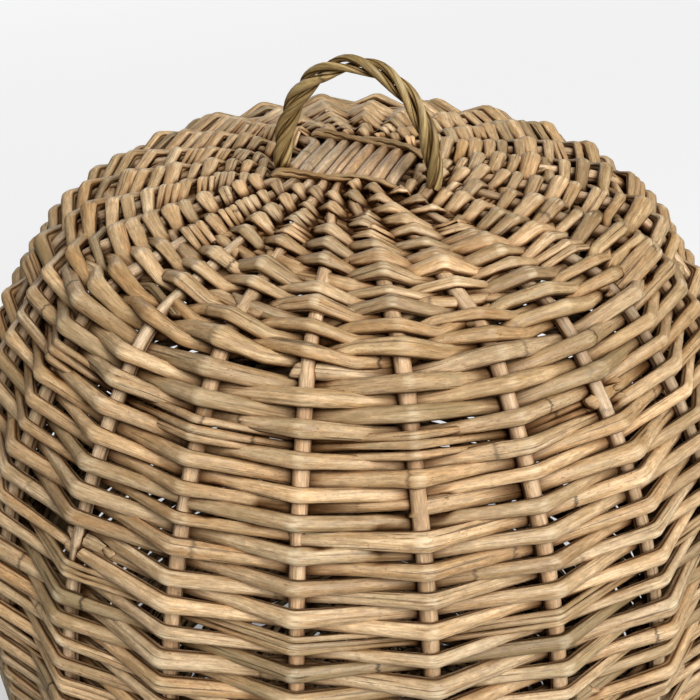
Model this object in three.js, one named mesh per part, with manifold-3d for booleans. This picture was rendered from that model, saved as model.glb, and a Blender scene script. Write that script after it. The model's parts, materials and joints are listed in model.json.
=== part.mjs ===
// Lidded willow basket: a domed lid with a twisted loop handle, resting on a round woven body.
// Millimetres, +Z up, front towards -Y. The origin is the middle of the footprint, on the floor.
import * as THREE from "three";
import * as BufferGeometryUtils from "three/addons/utils/BufferGeometryUtils.js";
import Module from "manifold-3d";

const wasm = await Module();
wasm.setup();

// Driving dimensions: millimetres, degrees and counts

// The rods and the weave
const stakeDiameter = 6.6;
const weaverThickness = 4.7;
const rowPitch = 5.8;
const weaversAtOnce = 6;
const weaveSkin = 1.2;
const touchGap = 0.3;
const longSticks = 8;
const crossSticks = 4;
const stickGap = 0.6;
const crownTurn = 15.4;
const crossTurn = 5;

// The lid's outline, along the middle of its stakes
const lidDepth = 245;
const ringRadius = 122;
const crownRise = 17;
const crownTopRadius = 40;
const crownTopSlope = 8;
const shoulderArc = 49;
const shoulderSlope = 47;
const lidWallArc = 249;

// The body's outline, along the middle of its stakes
const bodyHeight = 190;
const footHeight = 12;
const footWidth = 18;
const baseSlope = 4;
const cornerArc = 24;
const flareSlope = 66;
const bodyWallArc = 330;

// The open window where the crossed sticks show
const windowSideMargin = 1.7;
const windowEndMargin = 11.9;
const bendMargin = 5;
const fanLength = 32;

// Bands of stronger weave
const shoulderWaleWidth = 22;
const upsettWaleWidth = 46;
const rimWaleWidth = 20;
const waleThickness = 1.2;
const waleEdge = 3;
const borderHeight = 14;
const borderThickness = 18;
const borderEdge = 4;

// Binding rods that hold the crossed sticks
const bindingDiameter = 4;
const bindingLength = 44;

// The handle, a rope of strands bent over in half an ellipse
const strandCount = 3;
const strandDiameter = 4.8;
const strandGap = 0.5;
const handleHalfWidth = 37.5;
const handleRise = 53;
const handleTurns = 2.75;
const handleForward = 17;
const handleShift = 8;
const handleTurn = 3;
const handleSeat = 0.8;

// The split-wood band that keeps the lid from sliding, and its nails
const guideThickness = 5;
const guideAbove = 8;
const guideBelow = 16;
const guideEdge = 1.5;
const lidPlay = 2;
const nailCount = 8;
const nailDiameter = 1.8;
const nailLength = 14;
const nailHeadDiameter = 4.4;
const nailHeadThickness = 1;

// How finely round shapes are divided
const rodSides = 6;
const strandSteps = 40;
const nailSides = 8;

// Values worked out from the driving dimensions

const radians = THREE.MathUtils.degToRad;
const stakeRadius = stakeDiameter / 2;
const stakeCount = 2 * (longSticks + crossSticks);
const stakeStep = radians(360 / stakeCount);
const stickPitch = stakeDiameter + stickGap;
const crossDrop = stakeDiameter + touchGap;
const weaveInside = stakeRadius + touchGap;
const weaveOutside = stakeRadius + weaverThickness;
const waleOutside = weaveOutside + waleThickness;
const borderHalf = borderThickness / 2;
const windowHalfLength = (longSticks * stickPitch) / 2 + windowSideMargin;
const windowHalfWidth = (crossSticks * stickPitch) / 2 + windowEndMargin;
const bendRadius = windowHalfLength + bendMargin;
const fanRadius = bendRadius + fanLength;
const lidSeam = bodyHeight + touchGap;
const ringHeight = lidSeam + lidDepth;

// Outlines

// Follows tangent arcs outwards from a start. A slope is the angle below the horizontal, in radians,
// and the outline turns downwards to a larger slope or upwards to a smaller one.
function followArcs(start, arcs) {
  const outline = [start];
  for (const { radius, slope, steps } of arcs) {
    const from = outline.at(-1);
    const turn = Math.sign(slope - from.slope) * radius;
    for (let i = 1; i <= steps; i++) {
      const here = THREE.MathUtils.lerp(from.slope, slope, i / steps);
      outline.push({
        r: from.r + turn * (Math.sin(here) - Math.sin(from.slope)),
        z: from.z + turn * (Math.cos(here) - Math.cos(from.slope)),
        slope: here,
      });
    }
  }
  return outline;
}

// Adds to each station how far along the outline it lies.
function measured(outline) {
  let along = 0;
  return outline.map((station, i) => {
    const before = outline[Math.max(i - 1, 0)];
    along += Math.hypot(station.r - before.r, station.z - before.z);
    return { ...station, along };
  });
}

// The station at a given value of one of its numbers, between the two stations that enclose it.
function stationAt(outline, key, value) {
  const last = outline.length - 1;
  const next = outline.findIndex((station) => station[key] >= value - 1e-6);
  const b = outline[next < 0 ? last : Math.max(next, 1)];
  const a = outline[outline.indexOf(b) - 1];
  const share = (value - a[key]) / (b[key] - a[key]);
  const between = (name) => THREE.MathUtils.lerp(a[name], b[name], share);
  return { r: between("r"), z: between("z"), slope: between("slope"), along: between("along") };
}

// Every station from one distance along the outline to another, ends included.
function stretch(outline, from, to) {
  const inside = outline.filter((station) => station.along > from + 1 && station.along < to - 1);
  return [stationAt(outline, "along", from), ...inside, stationAt(outline, "along", to)];
}

// A point set off square to the outline: up from a level stretch, outwards from one that runs down.
function setOff(station, distance) {
  return new THREE.Vector2(
    station.r + distance * Math.sin(station.slope),
    station.z + distance * Math.cos(station.slope),
  );
}

// The lid's crown has a rounder top, and a flatter arc from there to the ring that uses up the rest of its
// rise. The shoulder and the wall follow as tangent arcs.
function lidOutline() {
  const topSlope = radians(crownTopSlope);
  const topArc = crownTopRadius / Math.sin(topSlope);
  const run = ringRadius - crownTopRadius;
  const drop = crownRise - topArc * (1 - Math.cos(topSlope));
  const ringSlope = 2 * Math.atan(drop / run) - topSlope;
  const crownArc = run / (Math.sin(ringSlope) - Math.sin(topSlope));
  const curved = followArcs({ r: 0, z: ringHeight + crownRise, slope: 0 }, [
    { radius: topArc, slope: topSlope, steps: 1 },
    { radius: crownArc, slope: ringSlope, steps: 2 },
    { radius: shoulderArc, slope: radians(shoulderSlope), steps: 2 },
    { radius: lidWallArc, slope: radians(90), steps: 4 },
  ]);
  const { r, slope } = curved.at(-1);
  return measured([...curved, { r, z: lidSeam, slope }]);
}

// The body's base is domed up a little. Its wall leans out, straightens up and meets the lid's rim.
function bodyOutline(rimRadius) {
  const edgeSlope = radians(baseSlope);
  const flare = radians(flareSlope);
  const cornerRun = cornerArc * (Math.sin(flare) + Math.sin(edgeSlope));
  const wallRun = bodyWallArc * (1 - Math.sin(flare));
  const baseRadius = rimRadius - cornerRun - wallRun;
  const baseArc = baseRadius / Math.sin(edgeSlope);
  const edgeHeight = footHeight + touchGap + weaveOutside;
  const centreHeight = edgeHeight + baseArc * (1 - Math.cos(edgeSlope));
  const curved = followArcs({ r: 0, z: centreHeight, slope: 0 }, [
    { radius: baseArc, slope: edgeSlope, steps: 2 },
    { radius: cornerArc, slope: -flare, steps: 3 },
    { radius: bodyWallArc, slope: radians(-90), steps: 3 },
  ]);
  const { r, slope } = curved.at(-1);
  return { outline: measured([...curved, { r, z: bodyHeight, slope }]), baseRadius };
}

// Solids

// A closed mesh as a solid that can be joined or cut.
function asSolid(geometry) {
  const bare = geometry.clone();
  bare.deleteAttribute("normal");
  bare.deleteAttribute("uv");
  const merged = BufferGeometryUtils.mergeVertices(bare, 1e-4);
  return new wasm.Manifold(new wasm.Mesh({
    numProp: 3,
    vertProperties: new Float32Array(merged.attributes.position.array),
    triVerts: new Uint32Array(merged.index.array),
  }));
}

// The solid's faces as a mesh again.
function asGeometry(solid) {
  const { vertProperties, triVerts } = solid.getMesh();
  const geometry = new THREE.BufferGeometry();
  geometry.setAttribute("position", new THREE.BufferAttribute(vertProperties, 3));
  geometry.setIndex(new THREE.BufferAttribute(triVerts, 1));
  geometry.computeVertexNormals();
  return geometry;
}

// Cuts every given mesh out of a mesh.
function cutOut(geometry, tools) {
  return asGeometry(tools.reduce((solid, tool) => solid.subtract(asSolid(tool)), asSolid(geometry)));
}

// A ring turned from a section of radius and height, with one flat side between each two stakes.
function turned(section) {
  const area = THREE.ShapeUtils.area(section);
  const points = area < 0 ? [...section].reverse() : section;
  const geometry = new THREE.LatheGeometry([...points, points[0]], stakeCount, stakeStep / 2);
  return geometry.rotateX(Math.PI / 2);
}

// A straight stretch between each two stations, so that each bend falls on its station.
class StationPath extends THREE.Curve {
  constructor(stations) {
    super();
    this.stations = stations;
  }

  getPoint(t) {
    const last = this.stations.length - 1;
    const along = THREE.MathUtils.clamp(t, 0, 1) * last;
    const i = Math.min(Math.floor(along), last - 1);
    return this.stations[i].clone().lerp(this.stations[i + 1], along - i);
  }

  getPointAt(share) {
    return this.getPoint(share);
  }

  getTangentAt(share) {
    return this.getTangent(share);
  }
}

// A rod with a round section that runs through the given points.
function rod(points, radius, sides = rodSides) {
  const corners = Array.from({ length: sides }, (_, i) => {
    const angle = (2 * Math.PI * i) / sides;
    return new THREE.Vector2(radius * Math.cos(angle), radius * Math.sin(angle));
  });
  return new THREE.ExtrudeGeometry(new THREE.Shape(corners), {
    steps: points.length - 1,
    bevelEnabled: false,
    extrudePath: new StationPath(points),
  });
}

// A point at an azimuth from the front, towards +X.
function around(azimuth, r, z) {
  return new THREE.Vector3(r * Math.sin(azimuth), -r * Math.cos(azimuth), z);
}

// Turns a point of the cross, which lies a little askew among its stakes.
function onCross(point) {
  return point.applyAxisAngle(new THREE.Vector3(0, 0, 1), -radians(crossTurn));
}

// Stakes

// One end of a stake: from its tip at the border, along the outline, to where it bends into the cross.
function stakeEnd(outline, azimuth, offset, isLong, lift) {
  const tip = outline.at(-1).along - borderHeight - touchGap;
  const fan = stationAt(outline, "r", fanRadius);
  const wall = stretch(outline, fan.along, tip).reverse();
  const bendRun = Math.sqrt(bendRadius ** 2 - offset ** 2);
  const height = stationAt(outline, "r", bendRadius).z + lift;
  const bend = isLong
    ? new THREE.Vector3(offset, -bendRun, height)
    : new THREE.Vector3(bendRun, offset, height);
  return [...wall.map((station) => around(azimuth, station.r, station.z)), bend];
}

// A stake is one stick of the cross. Both its ends fan out, run down or up the wall, and end in the rim.
function stakePoints(outline, index, count, isLong, lift) {
  const place = index - (count - 1) / 2;
  const azimuth = place * stakeStep + (isLong ? 0 : Math.PI / 2);
  const mirror = isLong ? new THREE.Vector3(1, -1, 1) : new THREE.Vector3(-1, 1, 1);
  const near = stakeEnd(outline, azimuth, place * stickPitch, isLong, lift);
  const far = near.map((point) => point.clone().multiply(mirror)).reverse();
  onCross(near.at(-1));
  onCross(far[0]);
  return [...near, ...far];
}

// All stakes of the lid or the body. The cross sticks pass behind the long ones, on the inner side.
function stakes(outline, owner, outwards) {
  const pieces = [];
  for (let i = 0; i < longSticks; i++) {
    const points = stakePoints(outline, i, longSticks, true, 0);
    pieces.push([`${owner}_long_stake_${i + 1}`, rod(points, stakeRadius)]);
  }
  for (let i = 0; i < crossSticks; i++) {
    const points = stakePoints(outline, i, crossSticks, false, -outwards * crossDrop);
    pieces.push([`${owner}_cross_stake_${i + 1}`, rod(points, stakeRadius)]);
  }
  return pieces;
}

// Woven bands, each a skin over the outer side of the stakes. "outwards" is 1 on the lid and -1 on the
// body, because the body's outline runs the other way up.

// Joins sections that follow each other once round the axis into a closed ring. All have as many points,
// and the last one is the first again. Points that fall together make a side of the ring narrower.
function ringOf(sections) {
  const size = sections[0].length;
  const geometry = new THREE.BufferGeometry().setFromPoints(sections.flat());
  const faces = [];
  for (let i = 0; i + 1 < sections.length; i++) {
    for (let j = 0; j < size; j++) {
      const a = i * size + j;
      const b = i * size + ((j + 1) % size);
      faces.push([a, a + size, b], [b, a + size, b + size]);
    }
  }
  geometry.setIndex(faces.flat());
  const merged = BufferGeometryUtils.mergeVertices(geometry, 1e-4);
  const corners = Array.from(merged.index.array);
  const triangles = faces.map((_, i) => corners.slice(3 * i, 3 * i + 3));
  merged.setIndex(triangles.filter((triangle) => new Set(triangle).size === 3).flat());
  merged.computeVertexNormals();
  return merged;
}

// A band of plain weave that follows the outline, from one distance along it to another. Each row bulges
// where its weaver passes in front of a stake, which is at every second stake, and the next row bulges at
// the stakes between. All weavers work at once, so each row starts where the one before it has climbed to.
function plainWeave(outline, outwards, from, to) {
  const start = from + touchGap / 2;
  const end = to - touchGap / 2;
  const rows = Math.round((end - start) / rowPitch);
  const climb = weaversAtOnce / stakeCount;
  const inner = stretch(outline, start, end).reverse();
  const sections = [];
  for (let step = 0; step <= stakeCount; step += 0.5) {
    const azimuth = (step + 0.5) * stakeStep;
    const narrowing = Number.isInteger(step) ? 1 : Math.cos(stakeStep / 2);
    const place = (station, distance) => {
      const point = setOff(station, outwards * distance);
      return around(azimuth, point.x * narrowing, point.y);
    };
    const section = [];
    for (let i = -weaversAtOnce; i <= rows; i++) {
      const row = THREE.MathUtils.clamp(i + step * climb, 0, rows);
      const inFront = row > 0 && row < rows && (i + step) % 2 === 0;
      const station = stationAt(outline, "along", THREE.MathUtils.lerp(start, end, row / rows));
      section.push(place(station, inFront ? waleOutside : weaveInside + weaveSkin));
    }
    section.push(...inner.map((station) => place(station, weaveInside)));
    sections.push(outwards > 0 ? section.reverse() : section);
  }
  return ringOf(sections);
}

// A disc of weave over the middle, with a window over the crossed sticks.
function weaveDisc(outline, outwards, to) {
  const line = stretch(outline, 0, to - touchGap / 2);
  const outer = line.map((station) => setOff(station, outwards * weaveOutside));
  const inner = line.map((station) => setOff(station, outwards * weaveInside)).reverse();
  const window = new THREE.BoxGeometry(2 * windowHalfLength, 2 * windowHalfWidth, 8 * weaveOutside);
  window.rotateZ(-radians(crossTurn)).translate(0, 0, outline[0].z);
  return cutOut(turned([...outer, ...inner]), [window]);
}

// A band of heavier weave, with a softened edge at each end.
function waleBand(outline, outwards, from, to) {
  const start = from + touchGap / 2;
  const end = to - touchGap / 2;
  const shoulder = outwards * (waleOutside - waleEdge);
  const outer = stretch(outline, start + waleEdge, end - waleEdge);
  const inner = stretch(outline, start, end).reverse();
  return turned([
    setOff(stationAt(outline, "along", start), shoulder),
    ...outer.map((station) => setOff(station, outwards * waleOutside)),
    setOff(stationAt(outline, "along", end), shoulder),
    ...inner.map((station) => setOff(station, outwards * weaveInside)),
  ]);
}

// The border that ends a wall, over the tips of the stakes. It is flat where lid and body meet, and
// softened on its other side.
function border(outline, outerHalf, innerHalf) {
  const end = outline.at(-1);
  const start = stationAt(outline, "along", end.along - borderHeight);
  const widest = stationAt(outline, "along", end.along - borderHeight + borderEdge);
  return turned([
    new THREE.Vector2(start.r + outerHalf - borderEdge, start.z),
    new THREE.Vector2(widest.r + outerHalf, widest.z),
    new THREE.Vector2(end.r + outerHalf, end.z),
    new THREE.Vector2(end.r - innerHalf, end.z),
    new THREE.Vector2(widest.r - innerHalf, widest.z),
    new THREE.Vector2(start.r - innerHalf + borderEdge, start.z),
  ]);
}

// Smaller pieces

// The foot under the base: its top follows the base, and its underside is flat on the floor.
function foot(outline, baseRadius) {
  const middle = baseRadius - footWidth / 2;
  const under = -(weaveOutside + touchGap);
  const inner = setOff(stationAt(outline, "r", middle - footWidth / 2), under);
  const outer = setOff(stationAt(outline, "r", middle + footWidth / 2), under);
  return turned([
    inner,
    outer,
    new THREE.Vector2(outer.x, waleEdge),
    new THREE.Vector2(outer.x - waleEdge, 0),
    new THREE.Vector2(inner.x + waleEdge, 0),
    new THREE.Vector2(inner.x, waleEdge),
  ]);
}

// A thin rod laid over the long sticks, at one edge of the window.
function bindingRod(outline, side) {
  const y = side * (windowHalfWidth - touchGap - bindingDiameter / 2);
  const onSticks = stationAt(outline, "r", bendRadius).z + stakeRadius;
  const z = onSticks + touchGap + bindingDiameter / 2;
  const x = bindingLength / 2;
  const ends = [new THREE.Vector3(-x, y, z), new THREE.Vector3(x, y, z)];
  return rod(ends.map(onCross), bindingDiameter / 2);
}

// The guide band, bent round inside the body's border and standing above it.
function guideBand(outerRadius) {
  const innerRadius = outerRadius - guideThickness;
  const top = bodyHeight + guideAbove;
  const bottom = bodyHeight - guideBelow;
  return turned([
    new THREE.Vector2(innerRadius, bottom),
    new THREE.Vector2(outerRadius, bottom),
    new THREE.Vector2(outerRadius, top - guideEdge),
    new THREE.Vector2(outerRadius - guideEdge, top),
    new THREE.Vector2(innerRadius + guideEdge, top),
    new THREE.Vector2(innerRadius, top - guideEdge),
  ]);
}

// A nail driven outwards, its head against a flat side of the guide band. A clearance widens it.
function nail(azimuth, headRadius, clearance = 0) {
  const shank = nailDiameter / 2 + clearance;
  const head = nailHeadDiameter / 2 + clearance;
  const section = [
    new THREE.Vector2(0, -clearance),
    new THREE.Vector2(head, -clearance),
    new THREE.Vector2(head, nailHeadThickness),
    new THREE.Vector2(shank, nailHeadThickness),
    new THREE.Vector2(shank, nailLength),
    new THREE.Vector2(0, nailLength + nailDiameter + clearance),
  ];
  const geometry = new THREE.LatheGeometry(section, nailSides);
  geometry.rotateX(Math.PI);
  geometry.translate(0, -headRadius, 0);
  geometry.rotateZ(azimuth);
  return geometry.translate(0, 0, bodyHeight - borderHeight / 2);
}

// The handle

const helixRadius = (strandDiameter + strandGap) / Math.sqrt(3);
const ropeRadius = helixRadius + strandDiameter / 2;

// Where the ellipse's centre stands, just above the long sticks.
function handleCentre(outline) {
  const z = stationAt(outline, "r", bendRadius).z + stakeRadius + handleSeat;
  return new THREE.Vector3(handleShift, -handleForward, z);
}

// A point in the handle's plane, set off along the plane's normal and turned to its place.
function inHandle(centre, across, up, off) {
  const point = new THREE.Vector3(across, off, up);
  return point.applyAxisAngle(new THREE.Vector3(0, 0, 1), -radians(handleTurn)).add(centre);
}

// One strand winds round the half ellipse, at an even rate along it.
function strand(centre, index) {
  const arch = new THREE.EllipseCurve(0, 0, handleHalfWidth, handleRise, Math.PI, 0, true);
  const points = [];
  for (let i = 0; i <= strandSteps; i++) {
    const share = i / strandSteps;
    const middle = arch.getPointAt(share);
    const tangent = arch.getTangentAt(share);
    const angle = 2 * Math.PI * (handleTurns * share + index / strandCount);
    const out = helixRadius * Math.cos(angle);
    const across = middle.x - tangent.y * out;
    const up = middle.y + tangent.x * out;
    points.push(inHandle(centre, across, up, -helixRadius * Math.sin(angle)));
  }
  return rod(points, strandDiameter / 2);
}

// The hole in the crown's weave that one foot of the handle stands in.
function socket(centre, side) {
  const radius = (ropeRadius + touchGap) / Math.cos(Math.PI / stakeCount);
  const height = 4 * weaveOutside;
  const hole = new THREE.CylinderGeometry(radius, radius, height, stakeCount);
  const place = inHandle(centre, side * handleHalfWidth, 0, 0);
  return hole.rotateX(Math.PI / 2).translate(place.x, place.y, place.z - handleSeat + height / 2);
}

// Assembly

const group = new THREE.Group();
group.rotation.z = -radians(crownTurn);

function add(name, geometry, color, roughness = 0.6) {
  const material = new THREE.MeshStandardMaterial({ color, roughness, metalness: 0 });
  const mesh = new THREE.Mesh(geometry, material);
  mesh.name = name;
  group.add(mesh);
  return mesh;
}

const lid = lidOutline();
const { outline: body, baseRadius } = bodyOutline(lid.at(-1).r);

for (const [name, geometry] of [...stakes(lid, "lid", 1), ...stakes(body, "body", -1)]) {
  add(name, geometry, 0xb59a78);
}

// The lid's bands, from the crown down
const lidEnd = lid.at(-1).along;
const ringAlong = stationAt(lid, "r", ringRadius).along;
const shoulderEnd = ringAlong + shoulderWaleWidth;
const lidWaleStart = lidEnd - borderHeight - rimWaleWidth;
const handlePlace = handleCentre(lid);
const sockets = [socket(handlePlace, -1), socket(handlePlace, 1)];
add("lid_crown_weave", cutOut(weaveDisc(lid, 1, ringAlong), sockets), 0xc8a87d);
add("lid_shoulder_wale", waleBand(lid, 1, ringAlong, shoulderEnd), 0xb8966a);
add("lid_side_weave", plainWeave(lid, 1, shoulderEnd, lidWaleStart), 0xc8a87d);
add("lid_rim_wale", waleBand(lid, 1, lidWaleStart, lidEnd - borderHeight), 0xb8966a);
add("lid_border", border(lid, borderHalf, borderHalf - lidPlay), 0xbf9f74);
add("lid_binding_rod_front", bindingRod(lid, -1), 0xa58a5c);
add("lid_binding_rod_back", bindingRod(lid, 1), 0xa58a5c);
for (let i = 0; i < strandCount; i++) {
  add(`handle_strand_${i + 1}`, strand(handlePlace, i), 0x8f7a48, 0.5);
}

// The body's bands, from the base up
const bodyEnd = body.at(-1).along;
const baseEnd = stationAt(body, "r", baseRadius).along;
const upsettEnd = baseEnd + upsettWaleWidth;
const bodyWaleStart = bodyEnd - borderHeight - rimWaleWidth;
add("body_foot", foot(body, baseRadius), 0xa98b63);
add("body_base_weave", weaveDisc(body, -1, baseEnd), 0xbd9d74);
add("body_upsett_wale", waleBand(body, -1, baseEnd, upsettEnd), 0xb08f65);
add("body_side_weave", plainWeave(body, -1, upsettEnd, bodyWaleStart), 0xbd9d74);
add("body_top_wale", waleBand(body, -1, bodyWaleStart, bodyEnd - borderHeight), 0xb08f65);

// The guide band is nailed to the body's border, halfway up it
const guideRadius = body.at(-1).r - borderHalf - touchGap;
const nailRadius = (guideRadius - guideThickness) * Math.cos(stakeStep / 2) - nailHeadThickness - touchGap;
const nailAzimuths = Array.from({ length: nailCount }, (_, i) => (2 * Math.PI * i) / nailCount);
const nailHoles = nailAzimuths.map((azimuth) => nail(azimuth, nailRadius, touchGap));
add("body_border", cutOut(border(body, borderHalf, borderHalf), nailHoles), 0xbf9f74);
add("guide_band", cutOut(guideBand(guideRadius), nailHoles), 0xcbb48d);
nailAzimuths.forEach((azimuth, i) => {
  add(`guide_band_nail_${i + 1}`, nail(azimuth, nailRadius), 0x7d7f82, 0.4).material.metalness = 0.9;
});

export default group;
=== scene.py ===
"""Looks of a lidded willow basket: a domed lid with a twisted loop handle on a round woven body.

Every rod is a tube carried along its own path through the weave. Lengths are millimetres in the maker's
frame, where the long sticks of the cross run along Y. Each mesh is turned and scaled into the part's own
frame, in metres, when it is made.
"""

import json
import logging
import math
from dataclasses import dataclass, field, replace
from enum import Enum

import bpy
import numpy as np
from mathutils import Matrix

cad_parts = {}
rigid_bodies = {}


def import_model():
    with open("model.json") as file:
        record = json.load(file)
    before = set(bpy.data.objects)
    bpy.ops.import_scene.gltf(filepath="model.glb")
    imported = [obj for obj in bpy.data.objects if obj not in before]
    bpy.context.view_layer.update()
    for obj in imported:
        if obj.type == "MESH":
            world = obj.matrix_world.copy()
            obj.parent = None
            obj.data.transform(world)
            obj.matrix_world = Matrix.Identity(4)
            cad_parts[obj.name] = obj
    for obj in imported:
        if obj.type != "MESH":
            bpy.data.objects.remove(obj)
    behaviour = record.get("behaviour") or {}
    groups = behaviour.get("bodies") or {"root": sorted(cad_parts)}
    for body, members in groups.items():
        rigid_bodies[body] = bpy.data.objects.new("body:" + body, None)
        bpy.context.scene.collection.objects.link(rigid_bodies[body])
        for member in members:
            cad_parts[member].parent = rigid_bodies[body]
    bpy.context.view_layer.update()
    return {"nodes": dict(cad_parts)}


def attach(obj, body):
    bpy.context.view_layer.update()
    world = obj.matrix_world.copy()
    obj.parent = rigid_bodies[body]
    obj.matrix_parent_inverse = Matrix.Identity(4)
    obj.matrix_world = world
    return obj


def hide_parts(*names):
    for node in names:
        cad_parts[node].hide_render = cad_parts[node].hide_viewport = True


Array = np.ndarray
Object = bpy.types.Object
Material = bpy.types.Material
World = bpy.types.World
Socket = bpy.types.NodeSocket
Colour = tuple[int, int, int]

# Millimetres in a metre
METRE = 1000

log = logging.getLogger("basket")


# Sizes


@dataclass(frozen=True)
class Measures:
    """The basket's driving sizes in millimetres and degrees, the same as those of its solids."""

    stake_diameter: float = 6.6
    weaver_thickness: float = 4.7
    row_pitch: float = 5.8
    touch_gap: float = 0.3
    long_sticks: int = 8
    cross_sticks: int = 4
    stick_gap: float = 0.6
    crown_turn: float = 15.4
    cross_turn: float = 5.0
    lid_depth: float = 245.0
    ring_radius: float = 122.0
    crown_rise: float = 17.0
    crown_top_radius: float = 40.0
    crown_top_slope: float = 8.0
    shoulder_arc: float = 49.0
    shoulder_slope: float = 47.0
    lid_wall_arc: float = 249.0
    body_height: float = 190.0
    foot_height: float = 12.0
    foot_width: float = 18.0
    base_slope: float = 4.0
    corner_arc: float = 24.0
    flare_slope: float = 66.0
    body_wall_arc: float = 330.0
    window_side_margin: float = 1.7
    window_end_margin: float = 11.9
    bend_margin: float = 5.0
    fan_length: float = 32.0
    shoulder_wale_width: float = 22.0
    upsett_wale_width: float = 46.0
    rim_wale_width: float = 20.0
    border_height: float = 14.0
    border_thickness: float = 18.0
    binding_diameter: float = 4.0
    handle_half_width: float = 37.5
    handle_rise: float = 53.0
    handle_turns: float = 2.75
    handle_forward: float = 17.0
    handle_shift: float = 8.0
    handle_turn: float = 3.0
    handle_seat: float = 0.8
    strand_count: int = 3
    strand_diameter: float = 4.8
    strand_gap: float = 0.5

    @property
    def stake_radius(self) -> float:
        """Half the thickness of a stake."""
        return self.stake_diameter / 2

    @property
    def stake_count(self) -> int:
        """Both ends of every stick of the cross are stakes."""
        return 2 * (self.long_sticks + self.cross_sticks)

    @property
    def stick_pitch(self) -> float:
        """From the middle of one stick of the cross to the next."""
        return self.stake_diameter + self.stick_gap

    @property
    def cross_drop(self) -> float:
        """How far the cross sticks lie below the long ones."""
        return self.stake_diameter + self.touch_gap

    @property
    def window_half_length(self) -> float:
        """Half the window's size across the long sticks."""
        return self.long_sticks * self.stick_pitch / 2 + self.window_side_margin

    @property
    def window_half_width(self) -> float:
        """Half the window's size along the long sticks."""
        return self.cross_sticks * self.stick_pitch / 2 + self.window_end_margin

    @property
    def bend_radius(self) -> float:
        """Where the sticks start to fan out."""
        return self.window_half_length + self.bend_margin

    @property
    def fan_radius(self) -> float:
        """Where the sticks have reached their own azimuth."""
        return self.bend_radius + self.fan_length

    @property
    def lid_seam(self) -> float:
        """Height of the lid's lower edge."""
        return self.body_height + self.touch_gap

    @property
    def ring_height(self) -> float:
        """Height of the ring where the crown meets the shoulder."""
        return self.lid_seam + self.lid_depth

    @property
    def weave_outside(self) -> float:
        """From the middle of a stake to the outside of the weave."""
        return self.stake_radius + self.weaver_thickness


SIZES = Measures()


# Outlines and stakes


@dataclass(frozen=True)
class Outline:
    """The line of a wall through the middle of its stakes, from the basket's middle outwards."""

    r: Array
    z: Array
    slope: Array
    along: Array
    outwards: float

    def at(self, along: Array) -> tuple[Array, Array, Array]:
        """Radius, height and slope at distances along the line.

        Args:
            along: Distances from the middle.

        Returns:
            Radius, height and the angle below the horizontal in radians.
        """
        return (
            np.interp(along, self.along, self.r),
            np.interp(along, self.along, self.z),
            np.interp(along, self.along, self.slope),
        )

    def along_at(self, r: float) -> float:
        """How far along the line a radius is reached."""
        return float(np.interp(r, self.r, self.along))

    @property
    def end(self) -> float:
        """The whole length of the line."""
        return float(self.along[-1])


def trace_arcs(r: float, z: float, arcs: list[tuple[float, float]], rim: float, outwards: float) -> Outline:
    """Follows tangent arcs outwards and then runs straight up or down to the rim.

    On an arc of radius R from slope a to slope b, r grows by R (sin s - sin a) and z by
    R (cos s - cos a), with R negative where the line turns upwards.

    Args:
        r: Radius of the start.
        z: Height of the start.
        arcs: Radius and last slope, in radians, of each arc.
        rim: Height where the line ends.
        outwards: 1 where the outside is above the line, -1 where it is below.

    Returns:
        The outline.
    """
    rs, zs, slopes = [np.array([r])], [np.array([z])], [np.array([0.0])]
    for radius, last in arcs:
        first = slopes[-1][-1]
        turn = math.copysign(radius, last - first)
        here = np.linspace(first, last, 60)[1:]
        rs.append(rs[-1][-1] + turn * (np.sin(here) - math.sin(first)))
        zs.append(zs[-1][-1] + turn * (np.cos(here) - math.cos(first)))
        slopes.append(here)
    rs.append(rs[-1][-1:])
    zs.append(np.array([rim]))
    slopes.append(slopes[-1][-1:])
    all_r, all_z, all_slopes = (np.concatenate(parts) for parts in (rs, zs, slopes))
    along = np.concatenate([[0.0], np.cumsum(np.hypot(np.diff(all_r), np.diff(all_z)))])
    return Outline(all_r, all_z, all_slopes, along, outwards)


def lid_outline() -> Outline:
    """The lid: a round top, a flatter crown out to the ring, a round shoulder and an upright wall.

    The crown's arc has the slope at the ring that uses up the rest of the rise: the tangent of the mean
    of its two slopes is the drop over the run.
    """
    m = SIZES
    top_slope = math.radians(m.crown_top_slope)
    top = m.crown_top_radius / math.sin(top_slope)
    run = m.ring_radius - m.crown_top_radius
    drop = m.crown_rise - top * (1 - math.cos(top_slope))
    ring_slope = 2 * math.atan(drop / run) - top_slope
    arcs = [
        (top, top_slope),
        (run / (math.sin(ring_slope) - math.sin(top_slope)), ring_slope),
        (m.shoulder_arc, math.radians(m.shoulder_slope)),
        (m.lid_wall_arc, math.radians(90)),
    ]
    return trace_arcs(0.0, m.ring_height + m.crown_rise, arcs, m.lid_seam, 1.0)


def base_radius(rim_radius: float) -> float:
    """Radius of the body's base, inwards from the rim by the runs of the wall's two arcs."""
    m = SIZES
    flare = math.radians(m.flare_slope)
    corner_run = m.corner_arc * (math.sin(flare) + math.sin(math.radians(m.base_slope)))
    return rim_radius - corner_run - m.body_wall_arc * (1 - math.sin(flare))


def body_outline(rim_radius: float) -> Outline:
    """The body: a base domed up a little, a round corner and a wall that ends upright."""
    m = SIZES
    edge = math.radians(m.base_slope)
    base = base_radius(rim_radius) / math.sin(edge)
    edge_height = m.foot_height + m.touch_gap + m.weave_outside
    arcs = [
        (base, edge),
        (m.corner_arc, -math.radians(m.flare_slope)),
        (m.body_wall_arc, math.radians(-90)),
    ]
    return trace_arcs(0.0, edge_height + base * (1 - math.cos(edge)), arcs, m.body_height, -1.0)


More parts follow.
